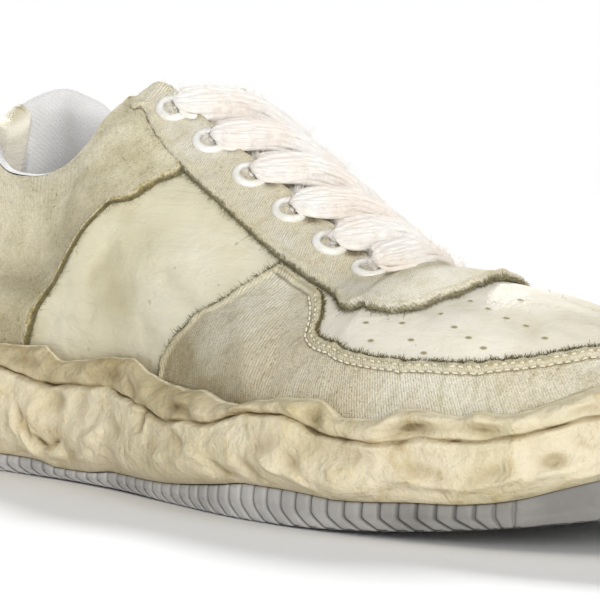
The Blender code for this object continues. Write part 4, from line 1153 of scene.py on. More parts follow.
# %% Section of the midsole: share of each zone and how far out, in mm
LOWER = [
    (0.00, 0.3), (0.05, 1.5), (0.12, 2.8), (0.22, 4.2), (0.38, 5.5), (0.55, 5.3),
    (0.70, 4.9), (0.84, 4.7), (0.96, 4.3), (1.00, 2.8),
]
UPPER = [
    (0.00, 2.4), (0.07, 3.6), (0.22, 4.2), (0.42, 4.6), (0.60, 4.5), (0.78, 4.0),
    (0.90, 3.0), (0.97, 1.9), (1.00, 1.1),
]
turns = whole_turn(1080)
low, crack, top = (both_sides(line, place, turns, calm) for line, place, calm in
                   ((LIP_LINE, 2, 0.5), (CRACK_LINE, 3, 0.9), (RIM_LINE, 4, 0.8)))
lower_rows, upper_rows = graded(38, low_end=True, power=1.3), graded(24, low_end=True, power=1.3)
out_low = column(LOWER, lower_rows, 1) * 0.001
out_high = column(UPPER, upper_rows, 1) * 0.001
Z = np.concatenate([low[:, None] + (crack - low)[:, None] * lower_rows[None, :],
                    crack[:, None] + (top - crack)[:, None] * upper_rows[None, :]], 1)
OUT = np.broadcast_to(np.concatenate([out_low, out_high])[None, :], Z.shape).copy()
T = np.broadcast_to(turns[:, None], Z.shape)
plan, out_way = edge_plan(turns)
base = np.concatenate([plan[:, None, :] + out_way[:, None, :] * OUT[..., None], Z[..., None]], -1)
body = held((Z - low[:, None]) / 0.003)
small = grain(base, 0.0085, 7.0) * 0.0012 + grain(base, 0.0040, 5.0) * 0.00034
lumps = grain(base, 0.021, 3.0) * 0.0016 + small
pressed = 1.5 * dents(T, Z)
band = held((Z - crack[:, None]) / 0.001) * held((top[:, None] - Z) / 0.001)
push = (lumps + pressed + grain(base, 0.0062, 12.0) * 0.0012 * band) * body
base[..., :2] += out_way[:, None, :] * push[..., None]
base[..., 2] += (grain(base, 0.012, 9.0) * 0.0009 + grain(base, 0.0045, 2.0) * 0.0004) * body
print("midsole pressed in by up to (mm):", round(float(pressed.min() * 1000), 2))

# %% The band's soft top, the wall of the cup, and the underside
face = GAP + OVERLAY_WALL + 0.0008
cup_rows = []
wall_zs = ask(wall, turns[:, None], wall_up[None, :])[..., 2]
for sink in (0.0002, 0.0022, 0.0060, 0.0120):
    z = top - sink
    up = np.array([np.interp(z[i], wall_zs[i], wall_up) for i in range(len(turns))])
    p = ask(wall, turns, up) + ask(wall_out, turns, up) * (face - 0.0005 * (sink < 0.001))
    cup_rows.append(np.column_stack([p[:, :2], z]))
cup = np.stack(cup_rows, 1)
lip = base[:, -1]
cup_lip = cup[:, 0]
crown = []
for share, height in ((0.2, lip[:, 2] + 0.0004), (0.5, np.maximum(lip[:, 2], cup_lip[:, 2]) + 0.0005),
                      (0.8, cup_lip[:, 2] + 0.0004)):
    crown.append(np.column_stack([blend(share, lip, cup_lip)[:, :2], height]))
under_xy, _ = edge_plan(turns, -0.0120)
under = np.column_stack([under_xy, low + 0.0002])
shape = np.concatenate([under[:, None], base, np.stack(crown, 1), cup], 1)
# Painted shade: dark in the crack, the dents and the small pits, along the foot of the rubber over the tread,
# and in the cup under the upper.
hollow_shade = np.zeros(shape.shape[:2])
near_crack = np.abs(Z - crack[:, None])
broken = np.clip(0.72 + 0.9 * grain(base[:, -1], 0.0075, 11.0), 0.30, 1.0)[:, None]
hollow_shade[:, 1:1 + Z.shape[1]] = (bell(near_crack, 0.0007) * broken
                               + held(-pressed / 0.0018) * 0.80
                               + held(-small / 0.0009) * 0.40
                               + np.exp(-np.maximum(Z - low[:, None], 0) / 0.0012) * 0.5)
hollow_shade[:, -6:] = 0.55
_, share = halves(turns)
soil = np.zeros(shape.shape[:2])
in_band = held((Z - crack[:, None]) / 0.0006)
soil[:, 1:1 + Z.shape[1]] = ((0.35 + 0.65 * in_band) * (1 - held((share - 0.56) / 0.24))[:, None]
                             + 0.30 * held((share - 0.62) / 0.14)[:, None])
midsole = sheet("midsole_rubber", shape, closed=True, turned=True,
                marks={"hollow_shade": held(hollow_shade), "soil": soil})
f = Finish("cream_rubber_aged", Specular_IOR_Level=0.42, Subsurface_Weight=0.04)
cloud = f.noise(0.030, 4.0, 0.6, lacing=0.7)
stain = f.noise(0.011, 4.0, 0.65, lacing=1.2)
skin_marks = f.noise(0.0045, 5.0, 0.62, lacing=0.15)
pits = f.noise(0.0022, 2.0, 0.5)
rubber = f.mix(cloud.between(0.35, 0.65), dye("efe3c0"), dye("f7ebcf"))
rubber = f.tint(f.mark("soil") * (0.40 + 0.6 * stain + 0.5 * skin_marks), rubber, dye("d0cab9"))
rubber = f.tint(stain.between(0.50, 0.72) * 0.50, rubber, dye("e5d9b4"))
rubber = f.tint(skin_marks.between(0.56, 0.76) * 0.35, rubber, dye("c8bb92"))
# Painted shade where the hollows are, darkest in the crack.
shade_tint = f.mark("hollow_shade")
rubber = f.tint(shade_tint * 0.75, rubber, dye("b4aa90"))
rubber = f.tint(shade_tint.between(0.80, 1.0) * 0.55, rubber, dye("7b6f50"))
satin = 0.46 + 0.20 * stain + 0.14 * skin_marks - 0.10 * pits
RUBBER = f.paint(rubber, satin, skin_marks * 0.65 + pits * 0.30 + stain * 0.7, 0.0017)
dress(midsole, RUBBER, "cream_rubber", "midsole")

# %% [markdown]
# ## The ribbed tread
#
# The side of the tread is a fine comb: upright grooves in its upper half that
# turn and slant in its lower half.  Towards the toe the comb ends in a plain
# bumper.  Each groove is built, so that its edge catches light, and its floor
# is also painted darker as shade.
# The underside isn't seen; its herringbone is painted and bumped.

# %% Tread rubber with slanted ribs
mean_length = (EDGES[-1][2] + EDGES[1][2]) / 2
ribs = int(round(mean_length * RIBBED_SHARE / RIB_PITCH))
step = RIBBED_SHARE / ribs
cell = np.array([0.00, 0.14, 0.44, 0.66, 0.73, 0.79, 0.84, 0.91, 0.96])
marks = np.concatenate([(np.arange(ribs)[:, None] + cell[None, :]).ravel() * step,
                        RIBBED_SHARE + (1 - RIBBED_SHARE) * np.linspace(0.0, 1.0, 36)])
valley_cell = np.array([0, 0, 0, 0, 0.25, 0.85, 1.0, 0.75, 0.15])
valley = np.concatenate([np.tile(valley_cell, ribs), np.zeros(36)])
turns = np.concatenate([marks, 2 - marks[-2:0:-1]])
valley = np.concatenate([valley, valley[-2:0:-1]])
levels = np.array([0.0, 0.03, 0.10, 0.20, 0.32, 0.44, 0.50, 0.56, 0.68, 0.80, 0.92, 1.0])
inward = np.array([0.0016, 0.0006, 0.0001, 0, 0, 0, 0, 0, 0, 0, 0.0001, 0.0004])
side, share = halves(turns)
edge_length = np.where(side < 0, EDGES[-1][2], EDGES[1][2])
fade = held((RIBBED_SHARE - share) / 0.04) * held(share / 0.04)
tread_rows = []
for level, inset in zip(levels, inward):
    slant = 0.0052 * held((0.5 - level) / 0.5)
    moved = turns + slant * fade / edge_length * (-side)
    cut = 0.0011 * valley * (1 - 0.25 * abs(level - 0.5)) * np.minimum(share / 0.09, 1.0) ** 2
    seam = 0.0004 * (bell(level - 0.5, 0.05)) * fade
    bumper = 0.00045 * np.sin(level * pi * 6) ** 2 * (share > RIBBED_SHARE)
    xy, _ = edge_plan(moved, -inset - cut - seam - bumper)
    low_z = sole_height(moved, 1)
    high_z = both_sides(LIP_LINE, 2, moved, 0.5) - GAP
    wave = 0.0002 * noise.noise(Vector((level * 3, 0, 0)))
    tread_rows.append(np.column_stack([xy, low_z + (high_z - low_z) * level + wave * (0 < level < 1)]))
bottom = [np.column_stack([edge_plan(turns, -inset)[0], sole_height(turns, 1)]) for inset in (0.0120, 0.0050)]
centre = bottom[0].copy()
centre[:, 1] *= 0.02
centre[:, 0] = np.clip(centre[:, 0], 0.04, 0.26)
side_x = bottom[0][:, 0]
order = np.argsort(side_x)
centre[:, 2] = np.interp(centre[:, 0], side_x[order], bottom[0][order, 2])
cap_xy, _ = edge_plan(turns, -0.0100)
cap = np.column_stack([cap_xy, both_sides(LIP_LINE, 2, turns, 0.5) - GAP])
tread_grid = np.stack([centre, bottom[0], bottom[1], *tread_rows, cap], 1)
rub = np.zeros(tread_grid.shape[:2])
rub[:, 3:5] = 1.0
# Painted shade in the floors of the grooves, and towards the toe under the overhanging midsole.
groove_shade_mark = np.zeros(tread_grid.shape[:2])
groove_shade_mark[:, 3:-1] = valley[:, None] * (fade * np.minimum(share / 0.09, 1.0))[:, None]
front_shade_mark = np.repeat(held((share - 0.66) / 0.12)[:, None], tread_grid.shape[1], 1)
tread = sheet("tread_rubber", tread_grid, closed=True, turned=True,
              marks={"rub": rub, "groove_shade": groove_shade_mark, "front": front_shade_mark})
f = Finish("grey_rubber_worn", Specular_IOR_Level=0.35)
dusty = f.noise(0.018, 4.0, 0.6)
grey = f.mix(dusty.between(0.35, 0.65), dye("c6c4c1"), dye("b2b0ae"))
grey = f.mix(f.noise(0.006, 4.0, 0.7).between(0.55, 0.75) * 0.35, grey, dye("c9c5ba"))
# Painted shade in the floors of the grooves.
grey = f.tint(f.mark("groove_shade") * 0.55, grey, dye("747472"))
grey = f.mix(f.mark("rub") * 0.3, grey, dye("c3c3c2"))
# Painted shade at the front, under the overhanging midsole.
grey = f.tint(f.mark("front") * 0.9, grey, dye("b4b3b0"))
herring = (f.axis("X") * (2 * pi / 0.0055) + f.waves(f.axis("Y"), 0.012) * 2.0).sine()
underside = 1.0 - f.axis("Z", f.node("TexCoord", out="Normal")).between(-0.9, -0.6)
lugs = herring.between(-0.2, 0.3) * underside
grey = f.tint((underside - lugs) * 0.6, grey, dye("6c6d70"))
TREAD = f.paint(grey, 0.55 + 0.25 * dusty, f.noise(0.0012, 3.0, 0.6) * 0.3 + lugs * 2.0, 0.0006)
dress(tread, TREAD, "grey_rubber", "outsole")

# %% [markdown]
# ## Eyelets
#
# A lace hole is lined with an enamelled ring: a broad soft roll with a dark
# hole, painted as shade on the barrel and on a dark plug below.  The rings
# sit where the solids have them, and the barrel goes on down through the
# cloth.

# %% Where each eyelet sits
EYELET_HOLE, EYELET_RING = 0.0056, 0.0106


def lathe(profile, turns_count, centre, across, along, normal):
    """Points of a turned form, [round, profile]."""
    a = np.arange(turns_count) * 2 * pi / turns_count
    r, z = profile[:, 0], profile[:, 1]
    return (centre + np.cos(a)[:, None, None] * r[None, :, None] * across
            + np.sin(a)[:, None, None] * r[None, :, None] * along + z[None, :, None] * normal)


def joined(name, grids, marks=None, turned=False):
    """One mesh from many closed grids of the same kind."""
    verts, faces, uvs, start = [], [], [], 0
    for points in grids:
        columns, rows = points.shape[:2]
        quad, corners = grid_faces(columns, rows, True)
        v = lengths(points, 1)
        girth = np.linalg.norm(points[0] - points[1], axis=1).mean()
        uv = np.stack([np.stack([a * girth, v[a % columns, b]], 1) for a, b in corners], 1)
        if turned:
            quad, uv = quad[:, ::-1], uv[:, ::-1]
        verts.append(points.reshape(-1, 3))
        faces.append(quad + start)
        uvs.append(uv)
        start += columns * rows
    return make_mesh(name, np.concatenate(verts), np.concatenate(faces), np.concatenate(uvs), marks)


ring, hole = EYELET_RING / 2, EYELET_HOLE / 2
down = EYESTAY_WALL + UPPER_WALL + 0.0010
eyelet_profile = np.array([
    (ring - 0.0002, -0.0006), (ring, 0.0001), (ring - 0.0001, 0.0006), (ring - 0.0005, 0.0010),
    (ring - 0.0010, 0.00125), (hole + 0.0007, 0.0012), (hole + 0.0003, 0.0009), (hole, 0.0003),
    (hole - 0.0001, -0.0010), (hole - 0.0001, -down)])
f = Finish("white_enamel_chipped", Specular_IOR_Level=0.5, Coat_Roughness=0.12, Coat_Weight=0.6)
chips = f.noise(0.0011, 3.0, 0.7).between(0.66, 0.72)
soiled = f.noise(0.004, 3.0, 0.6)
enamel = f.mix(soiled.between(0.35, 0.7), dye("f7f6f1"), dye("e9e6da"))
enamel = f.mix(chips * 0.6, enamel, dye("a39c85"))
# Painted shade down the barrel, darker the deeper it goes.
enamel = f.tint(f.mark("inner") * 0.9, enamel, dye("4d483a"))
gloss = 0.22 + 0.3 * soiled + 0.2 * chips
ENAMEL = f.paint(enamel, gloss, f.noise(0.0009, 2.0, 0.5) * 0.3 - chips * 0.4, 0.0003)
for side, word in ((-1, "outer"), (1, "inner")):
    grids = [lathe(eyelet_profile, 36, *eyelet_axes(side, n)) for n in range(6)]
    # How deep each row of the profile lies in the hole, for the painted shade.
    inner = np.tile(np.array([0, 0, 0, 0, 0, 0, 0.1, 0.5, 0.9, 1.0]), 36 * 6)
    eyelets = joined(f"eyelets_{word}", grids, marks={"inner": inner}, turned=True)
    dress(eyelets, ENAMEL, "white_enamel", *[f"eyelet_{word}_{n + 1}" for n in range(6)])

# %% Painted shadow: a dark plug seen down each hole
hole_profile = np.array([(hole - 0.0002, -0.0019), (hole * 0.6, -0.0021), (0.0001, -0.0022)])
f = Finish("hole_shadow_cloth", Specular_IOR_Level=0.1)
DARK = f.paint(f.mix(f.noise(0.002), dye("2a251b"), dye("17140f")), 0.95, f.noise(0.0007), 0.0003)
plugs = [lathe(hole_profile, 20, *eyelet_axes(side, n)) for side in (-1, 1) for n in range(6)]
plugs = joined("hole_shade_plug", plugs, turned=True)
dress(plugs, DARK, "worn_canvas")

# %% [markdown]
# ## The lace
#
# A bar of this lace is a soft bundle of cotton rovings laid side by side, not
# a flat tape.  Each bar comes up through a hole as a tight bunch, opens to its
# full width over the tongue, and dives into the hole across from it.  The
# bars lie like shingles, each one with its upper edge over the bar above.

# %% Rovings along a bar
def smooth_path(knots, count):
    """Points along a soft curve through a few places."""
    knots = np.array(knots)
    table = [(k / (len(knots) - 1), *p) for k, p in enumerate(knots)]
    t = np.linspace(0, 1, count)
    return np.stack([column(table, t, c) for c in (1, 2, 3)], 1)


def bar(start_axes, end_axes, width, thick, arch, strands, count, shingle, seed, toward=0.0, under=False):
    """Grids of the rovings of one bar from hole to hole."""
    (a, _, along_a, na), (b, _, along_b, nb) = start_axes, end_axes
    middle_normal = (na + nb) / np.linalg.norm(na + nb)
    reach = b - a
    off_a, off_b = reach / np.linalg.norm(reach) * 0.0011, -reach / np.linalg.norm(reach) * 0.0011
    spine = smooth_path([
        a - na * 0.0030 + off_a, a + na * 0.0002 + off_a, a + na * 0.0024 + off_a * 1.6,
        a + na * 0.0036 + reach * 0.12,
        a + reach * 0.32 + middle_normal * (0.0036 + arch * 0.8),
        a + reach * 0.50 + middle_normal * (0.0038 + arch),
        a + reach * 0.68 + middle_normal * (0.0036 + arch * 0.8),
        b + nb * 0.0036 - reach * 0.12, b + nb * 0.0024 + off_b * 1.6,
        b + nb * 0.0002 + off_b, b - nb * 0.0030 + off_b], count)
    if under:
        spine = smooth_path([
            a - na * 0.0044 + reach * 0.06, a - na * 0.0034 + reach * 0.15,
            a + reach * 0.32 + middle_normal * (arch - 0.0006), a + reach * 0.50 + middle_normal * arch,
            a + reach * 0.68 + middle_normal * (arch - 0.0006),
            b - nb * 0.0034 - reach * 0.15, b - nb * 0.0044 - reach * 0.06], count)
    s = np.linspace(0, 1, count)
    spine = spine + along_a * (1, 0, 1) * toward * np.sin(pi * s)[:, None] ** 1.5
    ahead = np.gradient(spine, axis=0)
    ahead = arrows(ahead)
    out = na * (1 - s)[:, None] + nb * s[:, None]
    wide = np.cross(ahead, out)
    wide = arrows(wide)
    toeward = along_a + along_b
    wide *= np.sign(wide @ toeward)[:, None]
    out = np.cross(wide, ahead)
    out *= np.sign((out * middle_normal).sum(1))[:, None]
    near = np.minimum(s, 1 - s)
    widening = held((near - 0.05) / 0.30)
    opening = 0.28 * held(near / 0.07) + 0.72 * widening ** 2 * (3 - 2 * widening)
    late = held((near - 0.13) / 0.27)
    late = 0.90 * late ** 2 * (3 - 2 * late)
    grids = []
    radius0 = width / strands * 1.12
    for k in range(strands):
        place = -1 + 2 * (k + 0.5) / strands
        bunch_angle = 2 * pi * k / strands
        swirl = 0.45 * np.sin(s * 6.0 + k * 1.9 + seed)
        spread_out = opening + (late - opening) * max(place, 0.0) ** 0.5
        sideways = ((place + swirl / strands) * width / 2 * spread_out
                    + 0.0008 * np.cos(bunch_angle) * (1 - opening))
        crown = (thick / 2) * (1 - place ** 2) ** 0.5 * opening - thick * 0.25 * opening
        crown = crown + 0.0008 * np.sin(bunch_angle) * (1 - opening) + shingle * place * opening
        crown = crown + (0.0004 * np.sin(s * 17.0 + 2.4 * k + seed) + 0.0003 * np.sin(k * 2.7 + seed)) * opening
        centre = spine + wide * sideways[:, None] + out * crown[:, None]
        radius = radius0 * (0.44 + 0.56 * opening) * (1 + 0.14 * np.sin(s * 15 + k * 2.2 + seed))
        a8 = np.arange(9) * 2 * pi / 9
        ring_points = (centre[None] + np.cos(a8)[:, None, None] * wide[None] * radius[None, :, None]
                       + np.sin(a8)[:, None, None] * out[None] * radius[None, :, None] * 0.92)
        grids.append(ring_points)
    return grids, spine, wide, out, opening


LACE_WIDTH, LACE_THICKNESS, LACE_ARCH = 0.0126, 0.0060, 0.0036
upper_bars, under_bars, fuzz_rows = [], [], []
for n in range(6):
    other = min(n + 1, 5)
    rise, toward = (LACE_ARCH, 0.0) if n < 5 else (LACE_ARCH * 0.6, 0.0022)
    grids, *track = bar(eyelet_axes(-1, n), eyelet_axes(1, other), LACE_WIDTH, LACE_THICKNESS, rise, 14, 60,
                        -0.0010, n * 1.3, toward=toward)
    upper_bars += grids
    fuzz_rows.append(track)
for n in range(5):
    grids, *_ = bar(eyelet_axes(1, n), eyelet_axes(-1, n + 1), 0.0100, 0.0036, 0.0010, 6, 40,
                    0.0, n * 2.1 + 0.5, under=True)
    under_bars += grids
# Painted shade: dark where each bar dives into its hole, and half dark over the whole of each bar under the
# lace.
root = []
for grids in (upper_bars, under_bars):
    for points in grids:
        near = np.minimum(np.arange(points.shape[1]), np.arange(points.shape[1])[::-1]) / points.shape[1]
        dark = held(1 - (near - 0.04) / 0.06) if grids is upper_bars else np.full(len(near), 0.5)
        root.append(np.tile(dark, points.shape[0]))
lace = joined("lace_rovings", upper_bars + under_bars, marks={"root": np.concatenate(root)})
f = Finish("cotton_lace_soft", Specular_IOR_Level=0.1, Sheen_Weight=0.5, Sheen_Roughness=0.5)
twist = ((f.upward * (2 * pi / 0.0042)) + f.across * (2 * pi / 0.0105)).sine() * 0.5 + 0.5
fibre = f.noise(0.0011, 4.0, 0.7, f.cloth(1.0, 0.25))
pale = f.mix(f.noise(0.012, 3.0, 0.5).between(0.35, 0.65), dye("fffdf8"), dye("fdf3e9"))
pale = f.tint(fibre.between(0.5, 0.8) * 0.16, pale, dye("ead9c8"))
pale = f.tint((1.0 - twist) ** 3.0 * 0.10, pale, dye("e2ccb2"))
# Painted shade at the holes and on the bars underneath.
pale = f.tint(f.mark("root"), pale, dye("8d8264"))
COTTON = f.paint(pale, 0.95, fibre + twist * 0.12, 0.0007)
dress(lace, COTTON, "cotton_lace", "lace")

# %% [markdown]
# ## Loose fibres
#
# What makes cloth look old at once is its hair: threads that stand off a torn
# edge, and fuzz on cotton.  Each hair is a thin bent strip with three sides.
# All the hairs of an edge are one mesh, because a thousand tiny objects would
# be slow and hard to keep.


# %% Many bent hairs as one mesh
def hairs(name, roots, ways, outs, length, radius, shade, bend, segments=3):
    """Hairs from roots: each sets off along its way and bends by a chance amount."""
    n = len(roots)
    cast = dice.normal(size=(n, 3)) * bend
    ways = ways + dice.normal(size=(n, 3)) * 0.5
    span = length * (0.35 + 0.9 * dice.random(n))
    points = []
    for k in range(segments + 1):
        t = k / segments
        points.append(roots + (ways * t + cast * t * t * 0.5 + outs * 0.15 * t) * span[:, None])
    points = np.stack(points, 1)
    ahead = np.gradient(points, axis=1)
    ahead = arrows(ahead)
    side_way = np.cross(ahead, outs[:, None, :] + 0.01)
    side_way = arrows(side_way)
    lift_way = np.cross(side_way, ahead)
    taper = np.linspace(1.0, 0.35, segments + 1)[None, :, None]
    rings = [points + (side_way * cos(a) + lift_way * sin(a)) * radius * taper
             for a in (0.0, 2 * pi / 3, 4 * pi / 3)]
    verts = np.stack(rings, 2).reshape(n, -1, 3)
    per = (segments + 1) * 3
    quads = []
    for k in range(segments):
        for j in range(3):
            j2 = (j + 1) % 3
            quads.append((k*3 + j, k*3 + j2, (k+1)*3 + j2, (k+1)*3 + j))
    faces = (np.array(quads)[None] + (np.arange(n) * per)[:, None, None]).reshape(-1, 4)
    tone = np.repeat(shade * (0.6 + 0.8 * dice.random(n)), per)
    return make_mesh(name, verts.reshape(-1, 3), faces, None, {"tone": held(tone)})


def edge_hairs(name, T, U, direction, per_mm, length, radius, shade, lift=0.0009, reach=0.0012):
    """Hairs along one line on the wall; direction is the way off the panel, as (turn, up)."""
    line = skin(T, U, lift)
    arc = np.concatenate([[0.0], np.cumsum(np.linalg.norm(np.diff(line, axis=0), axis=1))])
    count = int(arc[-1] * 1000 * per_mm)
    s = dice.random(count) * arc[-1]
    t, u = np.interp(s, arc, T), np.interp(s, arc, U)
    roots = skin(t, u, lift * (0.4 + 1.0 * dice.random(count)))
    beyond = skin(t + direction[0] * 0.004, u + direction[1] * 0.04, lift)
    ways = beyond - roots
    ways = arrows(ways)
    outs = ask(wall_out, t, u)
    roots = roots - ways * reach * dice.random(count)[:, None]
    return hairs(name, roots, ways, outs, length, radius, shade, bend=0.9)


f = Finish("loose_threads", Specular_IOR_Level=0.1)
THREADS = f.paint(f.mix(f.mark("tone"), dye("ded5b4"), dye("6e643c")), 0.95, f.noise(0.0004), 0.0001)
# name, grid, its raw line, way off the panel, hairs per mm, length, radius, shade
FRINGES = [
    ("toe_outer", guard_grid, np.s_[30:250, -1], (0, 1), 23, 0.0007, 0.000115, 1.0),
    ("toe_inner", guard_grid, np.s_[249:-30, -1], (0, 1), 16, 0.0007, 0.000115, 1.0),
    ("guard_outer", guard_grid, 0, (-1, 0), 14, 0.0009, 0.000100, 0.9),
    ("guard_inner", guard_grid, -1, (1, 0), 12, 0.0009, 0.000100, 0.9),
    ("stay_low_outer", stay_grid, np.s_[:210, 0], (0, -1), 9, 0.0012, 0.000080, 0.8),
    ("stay_low_inner", stay_grid, np.s_[209:, 0], (0, -1), 7, 0.0012, 0.000080, 0.8),
    ("stay_top", stay_grid, np.s_[:, -1], (0, 0.4), 4, 0.0011, 0.000070, 0.45),
    ("ankle_outer", ankle_grid, 0, (1, 0), 8, 0.0013, 0.000080, 0.7),
    ("ankle_inner", ankle_grid, -1, (-1, 0), 7, 0.0013, 0.000080, 0.7),
]
for name, (T, U), line, *how in FRINGES:
    dress(edge_hairs(f"fringe_{name}", T[line], U[line], *how), THREADS, "worn_canvas")

# %% Fuzz on the lace
count = 860
roots, ways, outs = [], [], []
for spine, wide, out, opening in fuzz_rows:
    i = dice.integers(4, len(spine) - 4, count)
    across = dice.choice([-1.0, 1.0], count) * (0.35 + 0.65 * dice.random(count) ** 0.5)
    crown = LACE_THICKNESS / 2 * np.sqrt(held(1 - across ** 2)) + 0.0002
    roots.append(spine[i] + wide[i] * (across * LACE_WIDTH / 2 * opening[i])[:, None] + out[i] * crown[:, None])
    ways.append(wide[i] * across[:, None] * 0.8 + out[i] * 0.4
                + np.gradient(spine, axis=0)[i] * 200 * dice.normal(size=(count, 1)))
    outs.append(out[i])
ways = np.concatenate(ways)
ways = arrows(ways)
fuzz = hairs("lace_fuzz", np.concatenate(roots), ways, np.concatenate(outs),
             0.0016, 0.000055, 0.12, bend=0.8)
dress(fuzz, COTTON, "cotton_lace")

# %% [markdown]
# ## Stitches and pinholes
#
# Two rows of stitches follow the edge of the toe box, each a short rounded
# thread sunk in the cloth.  The toe box has small oval pinholes for air; each
# is a shallow dish, painted dark as the shade of the hole.

# %% Stitches along the toe box
def stitch_row(T, U, pitch, long, radius):
    """Short round threads along one line on the wall."""
    line = skin(T, U, GAP + OVERLAY_WALL + 0.00065)
    arc = np.concatenate([[0.0], np.cumsum(np.linalg.norm(np.diff(line, axis=0), axis=1))])
    grids = []
    for s in np.arange(0.001, arc[-1] - 0.001, pitch):
        ends = [np.array([np.interp(s + d, arc, line[:, c]) for c in range(3)]) for d in (-long / 2, long / 2)]
        t = np.interp(s, arc, T)
        out = ask(wall_out, np.array([t]), np.array([np.interp(s, arc, U)]))[0]
        ahead = ends[1] - ends[0]
        ahead = arrows(ahead)
        wide = np.cross(ahead, out)
        stations = np.linspace(0, 1, 6)
        sunk = 0.00035 * (2 * stations - 1) ** 4
        centre = ends[0] + (ends[1] - ends[0]) * stations[:, None] - out * sunk[:, None]
        r = radius * np.sqrt(np.clip(1 - (2 * stations - 1) ** 6, 0.02, 1))
        a = np.arange(6) * 2 * pi / 6
        round_way = np.cos(a)[:, None, None] * wide + np.sin(a)[:, None, None] * out
        grids.append(centre[None] + round_way * r[None, :, None])
    return grids


stitches = []
down_guard = lengths(skin(*guard_grid), 1)
below = down_guard[:, -1:] - down_guard
for inset in SEAMS:
    line_T, line_U = (np.array([np.interp(-inset, -d, row) for d, row in zip(below, grid)])[45:-45]
                      for grid in guard_grid)
    stitches += stitch_row(line_T, line_U, 0.0023, 0.0017, 0.00030)
stitching = joined("toe_stitches", stitches)
f = Finish("stitch_thread", Specular_IOR_Level=0.2, Sheen_Weight=0.2)
STITCH = f.paint(f.mix(f.noise(0.003), dye("f7f0da"), dye("e6dcc0")), 0.85, f.noise(0.0004), 0.0001)
dress(stitching, STITCH, "worn_canvas")

# %% Pinholes of the toe box: share, up
PINHOLES = [
    (0.704, 0.530), (0.739, 0.550), (0.719, 0.453), (0.756, 0.473), (0.772, 0.420),
    (0.772, 0.620), (0.791, 0.552), (0.807, 0.508), (0.822, 0.468), (0.794, 0.730),
    (0.816, 0.693), (0.837, 0.652), (0.858, 0.623), (0.877, 0.552), (0.849, 0.785),
]
dish = np.array([(1.30, 0.00004), (1.0, 0.00007), (0.78, 0.00003), (0.5, 0.00006), (0.02, 0.00005)])
pins = []
for side in (-1, 1):
    for share, up in PINHOLES:
        turn = share if side < 0 else 2 - share
        t, u = np.array([turn]), np.array([up])
        centre = skin(t, u)[0]
        out = ask(wall_out, t, u)[0]
        ahead = skin(t + 0.004, u)[0] - centre
        ahead -= out * (ahead @ out)
        ahead = arrows(ahead)
        pins.append(lathe(dish * (0.00070, 1.0), 16, centre, ahead * 1.25, np.cross(out, ahead) * 0.72, out))
pin_rows = np.tile(np.array([0.0, 0.35, 1.0, 1.0, 1.0]), 16 * len(pins))
pinholes = joined("toe_pinholes", pins, marks={"hole": pin_rows}, turned=True)
f = Finish("pinhole_leather", Specular_IOR_Level=0.2)
# The floor of each dish is painted dark: the shade of the hole.
PIN = f.paint(f.mix(f.mark("hole"), dye("e4ddc6"), dye("a59b79")), 0.8, f.noise(0.0005), 0.0001)
dress(pinholes, PIN, "cream_leather")

# %% [markdown]
# ## The studio
#
# A product portrait is shot on a plain pale floor with soft lights, so that the
# only dark thing on the floor is the shadow under the shoe.

# %% Floor
corners = np.array([[[x, y, 0.0] for y in (-30.0, 30.0)] for x in (-30.0, 30.0)])
floor = sheet("studio_floor", corners, turned=True)
f = Finish("studio_paper", Specular_IOR_Level=0.0)
floor.data.transform(TO_REST)
floor.data.materials.append(f.paint(dye("fbfbfb"), 0.95, f.noise(0.01), 0.00001))

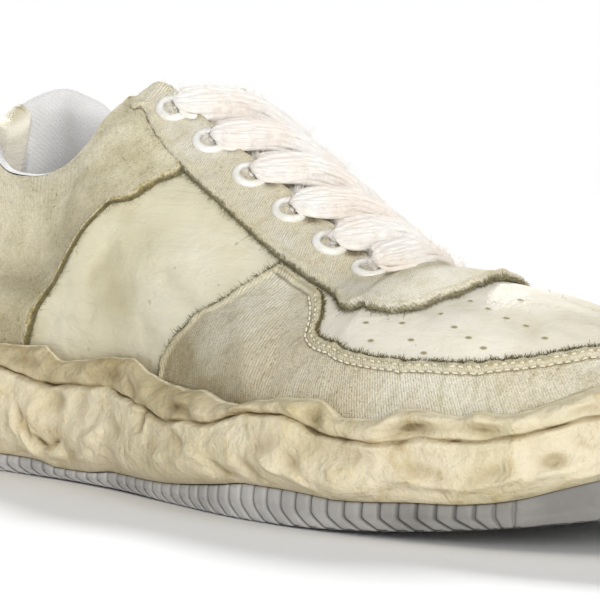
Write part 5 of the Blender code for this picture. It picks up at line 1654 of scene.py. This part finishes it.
# %% Air of the studio: white to the eye, brighter from above and behind
world = bpy.data.worlds.new("studio_air")
bpy.context.scene.world = world
world.use_nodes = True
air = world.node_tree
backdrop = air.nodes["Background"]
backdrop.inputs["Color"].default_value = (1.0, 1.0, 1.0, 1.0)
direction = air.nodes.new("ShaderNodeTexCoord")
along = air.nodes.new("ShaderNodeVectorMath")
along.operation = "DOT_PRODUCT"
air.links.new(direction.outputs["Generated"], along.inputs[0])
along.inputs[1].default_value = (0.10, 0.42, 0.90)
fall = air.nodes.new("ShaderNodeMapRange")
air.links.new(along.outputs["Value"], fall.inputs["Value"])
for socket, value in (("From Min", -0.75), ("From Max", 0.75), ("To Min", 0.10), ("To Max", 0.43)):
    fall.inputs[socket].default_value = value
seen = air.nodes.new("ShaderNodeLightPath")
choose = air.nodes.new("ShaderNodeMix")
air.links.new(seen.outputs["Is Camera Ray"], choose.inputs[0])
air.links.new(fall.outputs["Result"], choose.inputs[2])
choose.inputs[3].default_value = 1.0
air.links.new(choose.outputs[0], backdrop.inputs["Strength"])


def soft_light(name, heading, height, spread, power):
    """A wide far light from a heading in plan and a height above the floor, in degrees."""
    data = bpy.data.lights.new(name, "SUN")
    data.angle = radians(spread)
    data.energy = power
    lamp = bpy.data.objects.new(name, data)
    bpy.context.scene.collection.objects.link(lamp)
    plan = Vector(heading).normalized() * cos(radians(height))
    lamp.rotation_euler = Vector((plan.x, plan.y, sin(radians(height)))).to_track_quat("Z", "Y").to_euler()
    return lamp


soft_light("back_light", (-0.80, 0.50), 31.0, 9.0, 2.9)
soft_light("key_light", (0.80, -0.60), 14.0, 30.0, 1.95)
soft_light("top_light", (0.30, 0.20), 70.0, 40.0, 0.30)

# %% Camera at the portrait's angle
azimuth, elevation, roll, distance = radians(44.06), radians(2.31), radians(3.41), 0.9575
target = Vector((0.150, 0.0, 0.055))
forward = Vector((-sin(azimuth) * cos(elevation), cos(azimuth) * cos(elevation), -sin(elevation)))
right = Vector((cos(azimuth), sin(azimuth), 0.0))
upright = right.cross(forward)
turned_right = right * cos(roll) + upright * sin(roll)
turned_up = upright * cos(roll) - right * sin(roll)
camera_data = bpy.data.cameras.new("portrait_camera")
camera = bpy.data.objects.new("portrait_camera", camera_data)
bpy.context.scene.collection.objects.link(camera)
frame_axes = Matrix((turned_right, turned_up, -forward)).transposed().to_4x4()
frame_axes.translation = target - forward * distance
camera.matrix_world = TO_REST @ frame_axes
camera_data.sensor_width = 36.0
camera_data.lens = 3337.6 / 600 * 36.0
camera_data.shift_x = 25.97 / 600
camera_data.shift_y = 2.515 / 600
bpy.context.scene.camera = camera
bpy.context.scene.view_settings.view_transform = "Standard"
print("lens (mm):", round(camera_data.lens, 1))

# %% [markdown]
# ## Last measures
#
# The dressed shoe has to stay the size of its solids.  The scene is brought up to
# date before the frame closes it.

# %% Bring the scene up to date
bpy.context.view_layer.update()
